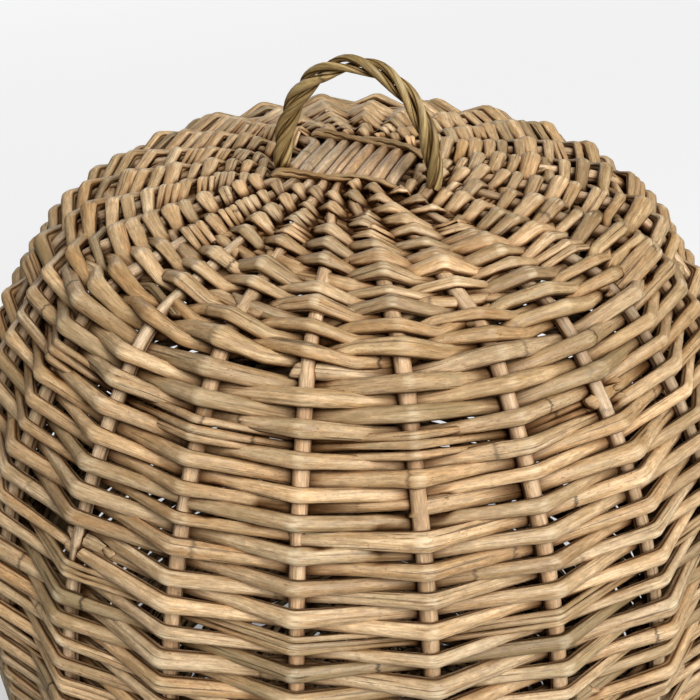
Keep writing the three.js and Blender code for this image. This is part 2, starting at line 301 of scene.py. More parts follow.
def round_corners(knots: Array, reach: float, samples: int, between: int = 1) -> Array:
    """Rounds each inner corner of a line of straight runs with a quadratic curve.

    Each curve leaves the run at the given reach before its corner, or at 0.45 of the shorter run, and
    joins the next run as far after it. More points stand on the runs between curves, at even distances.

    Args:
        knots: Corner points, one row each. The rows may have any number of columns.
        reach: How far from its corner each curve starts.
        samples: Points on each curve.
        between: Points on each run between two curves.

    Returns:
        The points of the rounded line, one row each.
    """
    runs = np.linalg.norm(np.diff(knots[:, :3], axis=0), axis=1)
    room = 0.45 * np.minimum(runs[:-1], runs[1:])
    limit = np.minimum(room, reach)[:, None]
    corner = knots[1:-1]
    start = corner + (knots[:-2] - corner) * limit / runs[:-1, None]
    end = corner + (knots[2:] - corner) * limit / runs[1:, None]
    t = np.linspace(0, 1, samples)[None, :, None]
    curves = (1 - t) ** 2 * start[:, None] + 2 * t * (1 - t) * corner[:, None] + t**2 * end[:, None]
    starts = np.concatenate([start[1:], knots[-1:]])
    share = (np.arange(between) + 1)[None, :, None] / (between + 1)
    straights = end[:, None] * (1 - share) + starts[:, None] * share
    bent = np.concatenate([curves, straights], axis=1).reshape(-1, knots.shape[1])
    return np.concatenate([knots[:1], (knots[:1] + start[:1]) / 2, bent, knots[-1:]])


def on_cross(points: Array) -> Array:
    """Turns points of the cross, which lies a little askew among its stakes."""
    turn = -math.radians(SIZES.cross_turn)
    turned = points.copy()
    turned[:, 0] = points[:, 0] * math.cos(turn) - points[:, 1] * math.sin(turn)
    turned[:, 1] = points[:, 0] * math.sin(turn) + points[:, 1] * math.cos(turn)
    return turned


def unit(vectors: Array) -> Array:
    """Vectors scaled to length one."""
    return vectors / np.linalg.norm(vectors, axis=-1, keepdims=True)


def at_azimuth(azimuth: Array, r: Array, z: Array) -> Array:
    """Points given by their azimuth from the front towards +X, their radius and their height."""
    return np.column_stack([r * np.sin(azimuth), -r * np.cos(azimuth), z])


def distances(path: Array) -> Array:
    """How far along a line each of its points lies."""
    return np.concatenate([[0.0], np.cumsum(np.linalg.norm(np.diff(path, axis=0), axis=1))])


@dataclass
class StakeLines:
    """The middle lines of the stakes, which every weaver is measured from.

    Attributes:
        outline: The wall that the stakes follow.
        crown_samples: Points on each stake from the window to the ring.
        bend_reach: How far from its corner each bend of a stick starts.
        window_gap: From the window's edge to the start of the weave.
        spacing: From one point of a stake to the next beyond the ring.
        crown: The points of all stakes over the crown, worked out once.
    """

    outline: Outline
    crown_samples: int = 80
    bend_reach: float = 16.0
    window_gap: float = 1.5
    spacing: float = 4.0
    crown: Array = field(init=False)

    def __post_init__(self) -> None:
        """Works out the lines of all stakes over the crown once."""
        self.crown = np.stack([self.over_crown(stake) for stake in range(SIZES.stake_count)])

    def azimuth(self, step: Array | float) -> Array | float:
        """Azimuth of a stake from the front, for a count of stakes that may be a fraction."""
        return (np.asarray(step) + 0.5) * 2 * math.pi / SIZES.stake_count

    def from_cross(self, stake: int) -> tuple[Array, bool]:
        """The plan of a stake from the middle of its stick out to the ring, and whether it is long.

        The stake leaves the cross beside its neighbours, bends outwards at the bend radius, reaches its
        own azimuth at the fan radius and is radial from there.

        Args:
            stake: Number of the stake, counted from the front towards +X.

        Returns:
            Four corner points in plan, and True for an end of a long stick.
        """
        m = SIZES
        azimuth = float(self.azimuth(stake))
        direction = np.array([math.sin(azimuth), -math.cos(azimuth)])
        half_long = m.long_sticks * math.pi / m.stake_count
        is_long = abs(math.sin(azimuth)) < math.sin(half_long)
        count = m.long_sticks if is_long else m.cross_sticks
        across = 0 if is_long else 1
        step = 2 * math.pi / m.stake_count
        side = math.asin(direction[across]) / step
        offset = np.clip(side, -(count - 1) / 2, (count - 1) / 2) * m.stick_pitch
        run = math.copysign(math.sqrt(m.bend_radius**2 - offset**2), direction[1 - across])
        middle, bend = np.zeros(2), np.zeros(2)
        middle[across] = bend[across] = offset
        bend[1 - across] = run
        fan = [direction * m.fan_radius, direction * m.ring_radius]
        plan = np.concatenate([on_cross(np.stack([middle, bend])), fan])
        return plan, is_long

    def raised(self, plan: Array, is_long: bool) -> Array:
        """Lifts points in plan to the height of their stake.

        A long stick follows the outline. A cross stick lies one drop inwards inside the bend radius and
        comes up to the outline at the fan radius, along a smooth step.
        """
        m = SIZES
        r = np.hypot(plan[:, 0], plan[:, 1])
        along = np.interp(r, self.outline.r, self.outline.along)
        share = np.clip((m.fan_radius - r) / m.fan_length, 0, 1)
        drop = 0.0 if is_long else m.cross_drop
        z = self.outline.at(along)[1] - self.outline.outwards * drop * share**2 * (3 - 2 * share)
        return np.column_stack([plan, z])

    def over_crown(self, stake: int) -> Array:
        """The line of one stake from the edge of the window to the ring, at even distances."""
        m = SIZES
        plan, is_long = self.from_cross(stake)
        line = self.raised(round_corners(plan, self.bend_reach, samples=9), is_long)
        run = np.abs((line[:, :2] - plan[0]) @ unit(plan[1] - plan[0]))
        edge = m.window_half_width if is_long else m.window_half_length
        length = distances(line)
        start = float(np.interp(edge + self.window_gap, run, length))
        places = np.linspace(start, length[-1], self.crown_samples)
        return np.column_stack([np.interp(places, length, line[:, i]) for i in range(3)])

    def on_crown(self, stakes: Array, course: Array) -> tuple[Array, Array]:
        """Points and outward directions on whole stakes over the crown.

        Args:
            stakes: Numbers of stakes.
            course: Share of the way from the window to the ring, which may run past both ends.

        Returns:
            Points and unit normals, one row each.
        """
        place = np.clip(course, 0, 1) * (self.crown_samples - 1)
        low = np.minimum(place.astype(int), self.crown_samples - 2)
        share = (place - low)[:, None]
        lines = self.crown[stakes % SIZES.stake_count]
        rows = np.arange(len(stakes))
        points = lines[rows, low] * (1 - share) + lines[rows, low + 1] * share
        return points, self.normal_at(points)

    def normal_at(self, points: Array) -> Array:
        """The outward direction of the wall nearest to points over the crown."""
        r = np.maximum(np.hypot(points[:, 0], points[:, 1]), 1e-6)
        along = np.interp(r, self.outline.r, self.outline.along)
        slope = self.outline.at(along)[2]
        flat = points[:, :2] * (np.sin(slope) / r)[:, None]
        return np.column_stack([flat, np.cos(slope)]) * self.outline.outwards

    def on_wall(self, stakes: Array, course: Array) -> tuple[Array, Array]:
        """Points and outward directions on whole stakes beyond the ring.

        Args:
            stakes: Numbers of stakes.
            course: Distances along the outline.

        Returns:
            Points and unit normals, one row each.
        """
        azimuth = self.azimuth(stakes)
        r, z, slope = self.outline.at(course)
        normals = at_azimuth(azimuth, np.sin(slope), np.cos(slope))
        return at_azimuth(azimuth, r, z), normals * self.outline.outwards

    def stick(self, index: int, is_long: bool, tip: float) -> tuple[Array, Array]:
        """The middle line of a whole stick of the cross with both its ends, and its outward directions.

        Args:
            index: Place of the stick in its group, from 0.
            is_long: True for a long stick.
            tip: Distance along the outline where both ends stop.

        Returns:
            Points and unit normals, one row each.
        """
        m = SIZES
        if is_long:
            near = index - m.long_sticks // 2
            far = -near - 1 + m.stake_count // 2
        else:
            near = m.stake_count // 4 + index - m.cross_sticks // 2
            far = m.stake_count - 1 - near
        half_near, half_far = self.half_stick(near, tip), self.half_stick(far, tip)
        line = np.concatenate([half_near[0][::-1], half_far[0][1:]])
        return line, np.concatenate([half_near[1][::-1], half_far[1][1:]])

    def half_stick(self, stake: int, tip: float) -> tuple[Array, Array]:
        """The line of one stake from the middle of its stick to its tip, and its outward directions."""
        plan, is_long = self.from_cross(stake)
        line = self.raised(round_corners(plan, self.bend_reach, samples=7), is_long)
        ring = self.outline.along_at(SIZES.ring_radius)
        course = np.arange(ring + self.spacing, tip, self.spacing)
        wall, outward = self.on_wall(np.full(len(course), stake), course)
        return np.concatenate([line, wall]), np.concatenate([self.normal_at(line), outward])


# Rods

# Millimetres from one joint of a rod, where a bud stood, to the next
JOINT_PITCH = 130.0

# Thickness of each part of a rod that is whole, split in two or split in three
SPLIT_SIZES = {1: 1.0, 2: 0.66, 3: 0.52}

# Size of a cut end and how far it bulges, as shares of the rod's radius
CUT_SIZE = 0.84
CUT_BULGE = 0.12


@dataclass(frozen=True)
class Stock:
    """One kind of willow rod.

    Attributes:
        butt: Radius at the thick end.
        tip: Radius at the thin end.
        flatness: Its height off the wall as a share of its width.
        waviness: Height of the slow waves in its thickness, as a share of the radius.
        spread: How much thicker it is over and behind stakes than between them.
        split_share: Share of the rods that are split in two or three.
        hue: Mean warmth of the wood, from 0 to 1.
        hue_spread: How much the warmth differs from rod to rod.
        bark: Mean share of bark that is left.
        bark_spread: How much the bark differs from rod to rod.
        sides: Number of sides of its tube.
    """

    butt: float
    tip: float
    flatness: float = 0.92
    waviness: float = 0.05
    spread: float = 0.0
    split_share: float = 0.0
    hue: float = 0.45
    hue_spread: float = 0.3
    bark: float = 0.1
    bark_spread: float = 0.25
    sides: int = 9


@dataclass
class RodMesh:
    """Collects the tubes of many rods and makes them one mesh."""

    seed: int
    points: list[Array] = field(default_factory=list)
    quads: list[Array] = field(default_factory=list)
    fans: list[Array] = field(default_factory=list)
    grain: list[Array] = field(default_factory=list)
    tint: list[Array] = field(default_factory=list)
    face: list[Array] = field(default_factory=list)
    standing: list[Array] = field(default_factory=list)
    total: int = 0

    def __post_init__(self) -> None:
        """Starts this mesh's own run of random numbers."""
        self.random = np.random.default_rng(self.seed)

    def thickness(self, length: Array, start: float, butt: float, tip: float, waviness: float) -> Array:
        """Radius of a rod along its length.

        It runs evenly from butt to tip, times 1 plus two slow waves of random phase, and swells by a tenth
        over 3 mm at each joint of its grain, where a bud stood.

        Args:
            length: Distance of each ring from the butt.
            start: Place of the butt in the rod's grain.
            butt: Radius at the butt.
            tip: Radius at the tip.
            waviness: Height of the slower wave as a share of the radius.

        Returns:
            Radius of each ring.
        """
        share = length / length[-1]
        phase = self.random.uniform(0, 2 * math.pi, 2)
        wave = np.sin(length / 17 + phase[0]) + 0.6 * np.sin(length / 6.3 + phase[1])
        joint = ((length + start) / JOINT_PITCH % 1 - 0.5) * JOINT_PITCH
        swell = np.exp(-((joint / 3) ** 2))
        return (butt + (tip - butt) * share) * (1 + waviness * wave + 0.1 * swell)

    def add_rod(
        self,
        path: Array,
        outward: Array,
        stock: Stock,
        slant: tuple[float, float],
        standing: Array | float = 0.4,
    ) -> None:
        """Adds one rod, or two or three thin ones side by side in its place.

        Args:
            path: Middle line, one row a point.
            outward: Direction of the rod's outer side at each point.
            stock: Kind of rod.
            slant: How far each end's cut leans, as a share of the radius.
            standing: 1 where the rod stands out in front of a stake, -1 where it lies behind one.
        """
        count = 1
        if self.random.random() < stock.split_share:
            count = int(self.random.integers(2, 4))
        tangent = unit(np.gradient(path, axis=0))
        side = unit(np.cross(tangent, outward))
        length = distances(path)
        thinner = SPLIT_SIZES[count]
        hue, value = self.random.normal(stock.hue, stock.hue_spread), self.random.normal(0.5, 0.24)
        bark = self.random.normal(stock.bark, stock.bark_spread)
        age = self.random.random() ** 2
        standing = np.broadcast_to(standing, len(path))
        for i in range(count):
            place = (i - (count - 1) / 2) * 1.75 * thinner * (stock.butt + stock.tip) / 2
            sway = 0.3 * np.sin(length / self.random.uniform(14, 26) + self.random.uniform(0, 6.3))
            lift = self.random.uniform(-0.35, 0.35) * (count > 1)
            start = self.random.uniform(0, 900)
            radius = self.thickness(length, start, stock.butt * thinner, stock.tip * thinner, stock.waviness)
            radius = radius * (1 + stock.spread * (standing**2 - 0.5))
            shifted = path + side * (place + sway * (count > 1))[:, None] + unit(outward) * lift
            shade = np.array([hue, value + self.random.normal(0, 0.06), bark, age])
            self.add_tube(shifted, outward, radius, stock, slant, shade, standing, start)

    def add_tube(
        self,
        path: Array,
        outward: Array,
        radius: Array,
        stock: Stock,
        slant: tuple[float, float],
        shade: Array,
        standing: Array,
        start: float,
    ) -> None:
        """Adds a closed tube: rings of a flattened circle square to the path, with a cut at each end.

        A ring's point at angle a is the path's point, plus radius times cos a to the side, plus radius
        times flatness times sin a outwards. At the ends it also moves along the path, by slant times its
        distance to the side. Its face is sin a: 1 on the outer side of the rod and -1 on the inner one.

        Args:
            path: Middle line, one row a point.
            outward: Direction of the rod's outer side at each point.
            radius: Radius at each point.
            stock: Kind of rod, for its flatness and the number of its sides.
            slant: Lean of the cut at each end.
            shade: Hue, value, bark and age of the whole rod.
            standing: How far each point stands out, from -1 to 1.
            start: Place of the first point in the rod's grain.
        """
        sides = stock.sides
        path, outward, radius, standing = with_chamfers(path, outward, radius, standing)
        tangent = unit(np.gradient(path, axis=0))
        side = unit(np.cross(tangent, outward))
        up = np.cross(side, tangent)
        angle = 2 * math.pi * np.arange(sides) / sides
        x = radius[:, None] * np.cos(angle)
        y = radius[:, None] * np.sin(angle) * stock.flatness
        lean = np.zeros_like(x)
        lean[0] = lean[1] = slant[0] * x[0]
        lean[-1] = lean[-2] = slant[1] * x[-1]
        rings = path[:, None] + x[..., None] * side[:, None] + y[..., None] * up[:, None]
        rings = rings + lean[..., None] * tangent[:, None]
        bulge = CUT_BULGE * np.array([-radius[0], radius[-1]])[:, None] * tangent[[0, -1]]
        caps = path[[0, -1]] + bulge
        count = len(path)
        ring = np.arange(count - 1)[:, None] * sides
        here = np.arange(sides)[None, :]
        there = (here + 1) % sides
        quads = np.stack([ring + here, ring + sides + here, ring + sides + there, ring + there], axis=-1)
        last = (count - 1) * sides
        first_cap, last_cap = count * sides, count * sides + 1
        fans = np.concatenate([
            np.column_stack([np.full(sides, first_cap), here[0], there[0]]),
            np.column_stack([np.full(sides, last_cap), last + there[0], last + here[0]]),
        ])
        length = distances(path)
        flat_grain = np.stack([np.broadcast_to(length[:, None], x.shape), x, y], axis=-1).reshape(-1, 3)
        cap_grain = np.array([[length[0], 0, 0], [length[-1], 0, 0]])
        offset = np.array([start, *self.random.uniform(0, 180, 2)])
        self.points.append(np.concatenate([rings.reshape(-1, 3), caps]))
        self.quads.append(quads.reshape(-1, 4) + self.total)
        self.fans.append(fans + self.total)
        self.grain.append(np.concatenate([flat_grain, cap_grain]) + offset)
        self.tint.append(np.broadcast_to(shade, (count * sides + 2, 4)))
        self.face.append(np.append(np.tile(np.sin(angle), count), [0.3, 0.3]))
        self.standing.append(np.append(np.repeat(standing, sides), standing[[0, -1]]))
        self.total += count * sides + 2

    def build(self, name: str) -> Object:
        """Makes the object: its mesh is in metres in the part's own frame, and it stands at the origin.

        Args:
            name: Name of the object and its mesh.

        Returns:
            The new object, linked to the scene.
        """
        points = to_part_frame(np.concatenate(self.points))
        quads, fans = np.concatenate(self.quads), np.concatenate(self.fans)
        mesh = bpy.data.meshes.new(name)
        mesh.vertices.add(len(points))
        mesh.vertices.foreach_set("co", points.astype(np.float32).ravel())
        mesh.loops.add(quads.size + fans.size)
        mesh.loops.foreach_set("vertex_index", np.concatenate([quads.ravel(), fans.ravel()]).astype(np.int32))
        mesh.polygons.add(len(quads) + len(fans))
        sizes = np.concatenate([np.full(len(quads), 4), np.full(len(fans), 3)])
        starts = np.concatenate([[0], np.cumsum(sizes)[:-1]])
        mesh.polygons.foreach_set("loop_start", starts.astype(np.int32))
        mesh.polygons.foreach_set("use_smooth", np.ones(len(sizes), dtype=bool))
        write(mesh, "grain", "FLOAT_VECTOR", "vector", np.concatenate(self.grain))
        write(mesh, "tint", "FLOAT_COLOR", "color", np.clip(np.concatenate(self.tint), 0, 1))
        write(mesh, "face", "FLOAT", "value", np.concatenate(self.face))
        write(mesh, "standing", "FLOAT", "value", np.concatenate(self.standing))
        mesh.update(calc_edges=True)
        mesh.validate()
        return add_object(name, mesh)


def add_object(name: str, data: bpy.types.ID) -> Object:
    """Makes an object of a mesh, a lamp or a camera and links it to the scene."""
    made = bpy.data.objects.new(name, data)
    bpy.context.scene.collection.objects.link(made)
    return made


def with_chamfers(path: Array, outward: Array, radius: Array, standing: Array) -> tuple[Array, ...]:
    """Adds a ring near each end of a rod and draws the end ring in, so that the cut has an edge."""
    runs = np.linalg.norm(path[[1, -2]] - path[[0, -1]], axis=1)
    share = np.minimum(0.4, 0.3 * radius[[0, -1]] / runs)[:, None]
    near = path[[0, -1]] * (1 - share) + path[[1, -2]] * share
    lines = np.concatenate([path[:1], near[:1], path[1:-1], near[1:], path[-1:]])
    again = np.pad(np.arange(len(path)), 1, mode="edge")
    sizes = radius[again]
    sizes[[0, -1]] *= CUT_SIZE
    return lines, outward[again], sizes, standing[again]


def to_part_frame(points: Array) -> Array:
    """Turns millimetres in the maker's frame into metres in the part's frame."""
    turn = -math.radians(SIZES.crown_turn)
    spin = np.array([
        [math.cos(turn), -math.sin(turn), 0],
        [math.sin(turn), math.cos(turn), 0],
        [0, 0, 1],
    ])
    return points @ spin.T / METRE


def is_woven(piece: Object) -> bool:
    """Whether a piece is made of rods."""
    return piece.type == "MESH" and "grain" in piece.data.attributes


def read(source: bpy.types.bpy_prop_collection, name: str, width: int) -> Array:
    """Reads one value of all vertices or faces of a mesh, one row each."""
    values = np.empty(len(source) * width, dtype=np.float32)
    source.foreach_get(name, values)
    return values.reshape(-1, width)


def write(mesh: bpy.types.Mesh, name: str, kind: str, word: str, values: Array) -> None:
    """Writes a new attribute of a mesh.

    Args:
        mesh: The mesh.
        name: Name of the attribute.
        kind: Blender's word for its type.
        word: Blender's word for its values.
        values: The values, one row for each vertex.
    """
    made = mesh.attributes.new(name, kind, "POINT")
    made.data.foreach_set(word, values.astype(np.float32).ravel())


@dataclass
class Crowding:
    """Measures how close the rods lie to each other, so that shade can be painted where they crowd.

    Attributes:
        cell: Side of a cube, in metres.
        reach: How far in front of a vertex the rods are measured, in metres.
        margin: Empty cubes round the basket.
    """

    cell: float = 2.5e-3
    reach: float = 3.5e-3
    margin: int = 6

    def mark(self, pieces: list[Object]) -> None:
        """Writes the attribute "crowded" on each piece: the rod surface per volume in front of a vertex.

        The surface of all pieces is sorted into cubes, and each cube is averaged with its neighbours. A
        vertex reads the cubes at its reach along its normal. The result is in square millimetres per cubic
        millimetre.

        Args:
            pieces: All pieces that are made of rods.
        """
        centres = np.concatenate([read(piece.data.polygons, "center", 3) for piece in pieces])
        areas = np.concatenate([read(piece.data.polygons, "area", 1).ravel() for piece in pieces])
        low = centres.min(axis=0) - self.margin * self.cell
        filled = np.ceil((centres.max(axis=0) - low) / self.cell)
        shape = tuple(int(count) for count in filled + self.margin)
        cubes = np.ravel_multi_index(((centres - low) / self.cell).astype(int).T, shape)
        grid = np.bincount(cubes, areas, math.prod(shape)).reshape(shape) / self.cell**3 / METRE
        for axis in (0, 1, 2, 0, 1, 2):
            grid = (np.roll(grid, -1, axis) + grid + np.roll(grid, 1, axis)) / 3
        for piece in pieces:
            vertices = piece.data.vertices
            places = read(vertices, "co", 3) + self.reach * read(vertices, "normal", 3)
            values = self.sample(grid, (places - low) / self.cell - 0.5)
            write(piece.data, "crowded", "FLOAT", "value", values)

    def sample(self, grid: Array, places: Array) -> Array:
        """The grid's value at places between the middles of its cubes, blended from the eight nearest."""
        corner = np.clip(places.astype(int), 0, np.array(grid.shape) - 2)
        share = places - corner
        total = np.zeros(len(places))
        for step in np.ndindex(2, 2, 2):
            weight = np.where(step, share, 1 - share).prod(axis=1)
            x, y, z = (corner + step).T
            total += weight * grid[x, y, z]
        return total


# Weaves


class Weave(Enum):
    """How weavers pass the stakes: the number of weavers that work in one round."""

    PAIRING = 2
    WALING = 3
    RANDING = 6


class Place(Enum):
    """Which part of the stakes a band of weave is worked on."""

    CROWN = "from the window to the ring"
    WALL = "beyond the ring"


# A millimetre over the crown, as a share of the way from the window to the ring
CROWN_MILLIMETRE = 0.011


def neighbours(step: Array) -> tuple[Array, Array]:
    """The stakes before and after each step, which are the same one at a whole step."""
    return np.floor(step + 1e-6).astype(int), np.ceil(step - 1e-6).astype(int)


@dataclass
class WovenBand:
    """A band of weave worked round the stakes, made of many rods that follow each other.

    Attributes:
        name: Name of its object.
        lines: The stakes.
        weave: How the weavers pass the stakes.
        place: Which part of the stakes it is on. Over the crown, start and end are shares of the way from
            the window to the ring. Beyond the ring, they are distances along the outline.
        start: Where its first round lies.
        end: Where its last round lies.
        rounds: Rounds from start to end, or rows in randing.
        stock: Rods at the end of the band.
        inner_stock: Rods at its start, for their thickness and their share of split ones.
        seed: Seed of its random numbers.
        drift: How far a weaver moves up or down the stakes to pass its fellows.
        lift: How far a weaver rises in front of a stake and sinks behind one.
        bend: How far from a stake each bend starts.
        rod_steps: Fewest and most stakes that one rod passes.
        jitter: How far the rods stray up and down the stakes.
        variety: Spread of the rods' thickness.
        first_stake: Stake where the band begins.
        collar: How far the first rounds stand up at both ends of the cross sticks.
        collar_rounds: Number of rounds over which the collar sinks back.
        press: How deep a weaver presses into a stake.
        proud: How much farther it stands off a stake that it passes in front of.
        shortest_rod: What is left of a weaver gets a rod of its own from so many stakes on.
        spread: How much thicker a rod is over and behind stakes than between them.
    """

    name: str
    lines: StakeLines
    weave: Weave
    place: Place
    start: float
    end: float
    rounds: float
    stock: Stock
    inner_stock: Stock
    seed: int
    drift: float = 2.6
    lift: float = 0.0
    bend: float = 6.0
    rod_steps: tuple[float, float] = (17.0, 24.0)
    jitter: float = 0.5
    variety: float = 0.14
    first_stake: int = 0
    collar: float = 0.0
    collar_rounds: float = 2.2
    press: float = 0.6
    proud: float = 0.5
    shortest_rod: int = 4
    spread: float = 0.16

    def course(self, rounds: Array) -> Array:
        """Distance along the stakes after a number of rounds, kept inside the band."""
        share = np.clip(rounds / self.rounds, 0, 1)
        return self.start + (self.end - self.start) * share

    def rounds_at(self, strand: int, step: Array) -> Array:
        """How many rounds are under a weaver at a step. Randing counts each of its weavers as a round."""
        turns = step / SIZES.stake_count
        if self.weave is Weave.RANDING:
            return strand + self.weave.value * turns
        return turns

    def crossing(self, strand: int, step: Array) -> tuple[Array, Array]:
        """Where a weaver lies at half and whole steps: outwards (1) or inwards (-1), and its drift.

        In pairing and randing a weaver is outside every second stake. In waling it is outside two and
        inside one. Between two stakes it is halfway, and its drift takes it past its fellow weavers.

        Args:
            strand: Number of the weaver.
            step: Steps in halves.

        Returns:
            Share of the reach outwards, and share of the drift down the stakes.
        """
        whole = np.isclose(step, np.round(step))
        before, after = neighbours(step)
        if self.weave is Weave.WALING:
            outs, drifts = np.array([1.0, 1.0, -1.0]), np.array([-1.0, 1.0, 0.0])
        else:
            outs, drifts = np.array([1.0, -1.0]), np.array([0.0, 0.0])
        first = (before + strand) % len(outs)
        second = (after + strand) % len(outs)
        out = (outs[first] + outs[second]) / 2
        down = (drifts[first] + drifts[second]) / 2
        turning = ~whole & (outs[first] != outs[second])
        aside = 0.0 if self.weave is Weave.RANDING else 1.0
        return out, np.where(turning, aside * outs[first], down)

    def stake_points(self, step: Array, course: Array) -> tuple[Array, Array]:
        """Points and outward directions on the stakes, or halfway between two of them."""
        find = self.lines.on_crown if self.place is Place.CROWN else self.lines.on_wall
        before, after = neighbours(step)
        low, low_out = find(before + self.first_stake, course)
        high, high_out = find(after + self.first_stake, course)
        share = (step - before)[:, None]
        return low * (1 - share) + high * share, unit(low_out * (1 - share) + high_out * share)

    def downhill(self, step: Array, course: Array) -> Array:
        """The direction down the stakes at a place in the band."""
        ahead = 0.02 if self.place is Place.CROWN else 1.0
        here = self.stake_points(step, course - ahead)[0]
        there = self.stake_points(step, course + ahead)[0]
        return unit(there - here)

    def rod_path(self, mesh: RodMesh, strand: int, step: Array, radius: Array) -> tuple[Array, Array, Array]:
        """The line of one rod through the weave, and its outward directions.

        Args:
            mesh: The mesh, for its random numbers.
            strand: Number of the weaver that the rod belongs to.
            step: Steps that it passes, in order.
            radius: Its radius at each of them.

        Returns:
            Points and directions, one row each, and how far each point stands out, from -1 to 1.
        """
        rounds = self.rounds_at(strand, step)
        random = mesh.random
        slow = np.sin(step * random.uniform(0.7, 1.3) + random.uniform(0, 6.3))
        scale = 1.0 if self.place is Place.WALL else CROWN_MILLIMETRE
        course = self.course(rounds) + scale * self.jitter * (slow + random.normal(0, 0.45, len(step)))
        points, outward = self.stake_points(step, course)
        out, down = self.crossing(strand, step)
        reach = SIZES.stake_radius + radius * self.stock.flatness - self.press
        reach = reach + random.normal(0, 0.25, len(step))
        beside = np.sin(self.lines.azimuth(step + self.first_stake)) ** 2
        raised = self.proud + self.collar * np.clip(1 - rounds / self.collar_rounds, 0, 1) * beside
        reach = np.where(out > 0, reach + raised, reach)
        aside = self.drift * random.uniform(0.75, 1.2) * down - self.lift * out
        knots = points + outward * (out * reach)[:, None] + self.downhill(step, course) * aside[:, None]
        between = 5 if self.weave is Weave.RANDING else 1
        line = round_corners(np.column_stack([knots, outward, out]), self.bend, samples=5, between=between)
        return line[:, :3], unit(line[:, 3:6]), line[:, 6]

    def make_rods(self, mesh: RodMesh) -> None:
        """Cuts each weaver into rods that follow each other and adds them to the mesh."""
        count = SIZES.stake_count
        for strand in range(self.weave.value):
            if self.weave is Weave.RANDING:
                first = -strand * count // self.weave.value
                last = int((self.rounds - strand) * count / self.weave.value)
            else:
                first, last = 0, int(self.rounds * count)
            while first < last - 1:
                there = min(first + int(mesh.random.uniform(*self.rod_steps)), last)
                if last - there < self.shortest_rod:
                    there = last
                self.make_rod(mesh, strand, first, there)
                first = there

    def make_rod(self, mesh: RodMesh, strand: int, first: int, last: int) -> None:
        """Adds one rod from one step to another, with both ends tucked in. Only randing has no half steps."""
        parts = 1 if self.weave is Weave.RANDING else 2
        step = np.arange(parts * first, parts * last + 1) / parts
        step[0] -= mesh.random.uniform(-0.1, 0.3)
        step[-1] += mesh.random.uniform(0.2, 0.45)
        share = (step - step[0]) / (step[-1] - step[0])
        depth = float(np.clip(self.rounds_at(strand, step).mean() / self.rounds, 0, 1))
        butt = self.inner_stock.butt + (self.stock.butt - self.inner_stock.butt) * depth
        tip = self.inner_stock.tip + (self.stock.tip - self.inner_stock.tip) * depth
        size = np.clip(mesh.random.normal(1.0, self.variety), 0.7, 1.4)
        radius = size * (butt + (tip - butt) * share)
        path, outward, standing = self.rod_path(mesh, strand, step, radius)
        split_share = self.inner_stock.split_share * (1 - depth) + self.stock.split_share * depth
        kind = replace(
            self.stock, butt=size * butt, tip=size * tip, spread=self.spread, split_share=split_share
        )
        slant = tuple(mesh.random.uniform(0.4, 1.3, 2) * mesh.random.choice([-1, 1], 2))
        mesh.add_rod(path, outward, kind, slant, standing)

    def build(self) -> Object:
        """Makes the whole band as one object."""
        mesh = RodMesh(self.seed)
        self.make_rods(mesh)
        return mesh.build(self.name)


@dataclass
class RolledBorder:
    """A rolled edge: the stakes' ends, each laid round the edge over the next ones.

    Attributes:
        name: Name of its object.
        radius: Radius of the middle of its section.
        bottom: Height of its underside.
        width: Width of its section.
        depth: Height of its section.
        stock: Its rods.
        seed: Seed of its random numbers.
        span: Stakes that each rod passes.
        roll_start: Angle round the section where each rod starts, in degrees.
        roll: How far it rolls round the section, in degrees.
        samples: Points on each rod.
    """

    name: str
    radius: float
    bottom: float
    width: float
    depth: float
    stock: Stock
    seed: int
    span: float = 4.0
    roll_start: float = -150.0
    roll: float = 300.0
    samples: int = 44

    def build(self) -> Object:
        """Makes the border: rod k starts at stake k inside, and rolls outwards, over and in again.

        At share t of its way a rod stands at azimuth step k + span t, and at angle roll_start + roll t
        round the middle of the border's section.
        """
        mesh = RodMesh(self.seed)
        count = SIZES.stake_count
        thick = self.stock.butt
        height = self.bottom + self.depth / 2
        share = np.linspace(0, 1, self.samples)
        for stake in range(count):
            azimuth = (stake + 0.5 + self.span * share) * 2 * math.pi / count
            angle = np.radians(self.roll_start + self.roll * share) + mesh.random.normal(0, 0.05)
            r = self.radius + (self.width / 2 - thick) * np.cos(angle)
            up = (self.depth / 2 - thick) * np.sin(angle)
            outward = at_azimuth(azimuth, np.cos(angle), np.sin(angle))
            mesh.add_rod(at_azimuth(azimuth, r, height + up), outward, self.stock, (0.6, -0.6))
        return mesh.build(self.name)


# Finishes


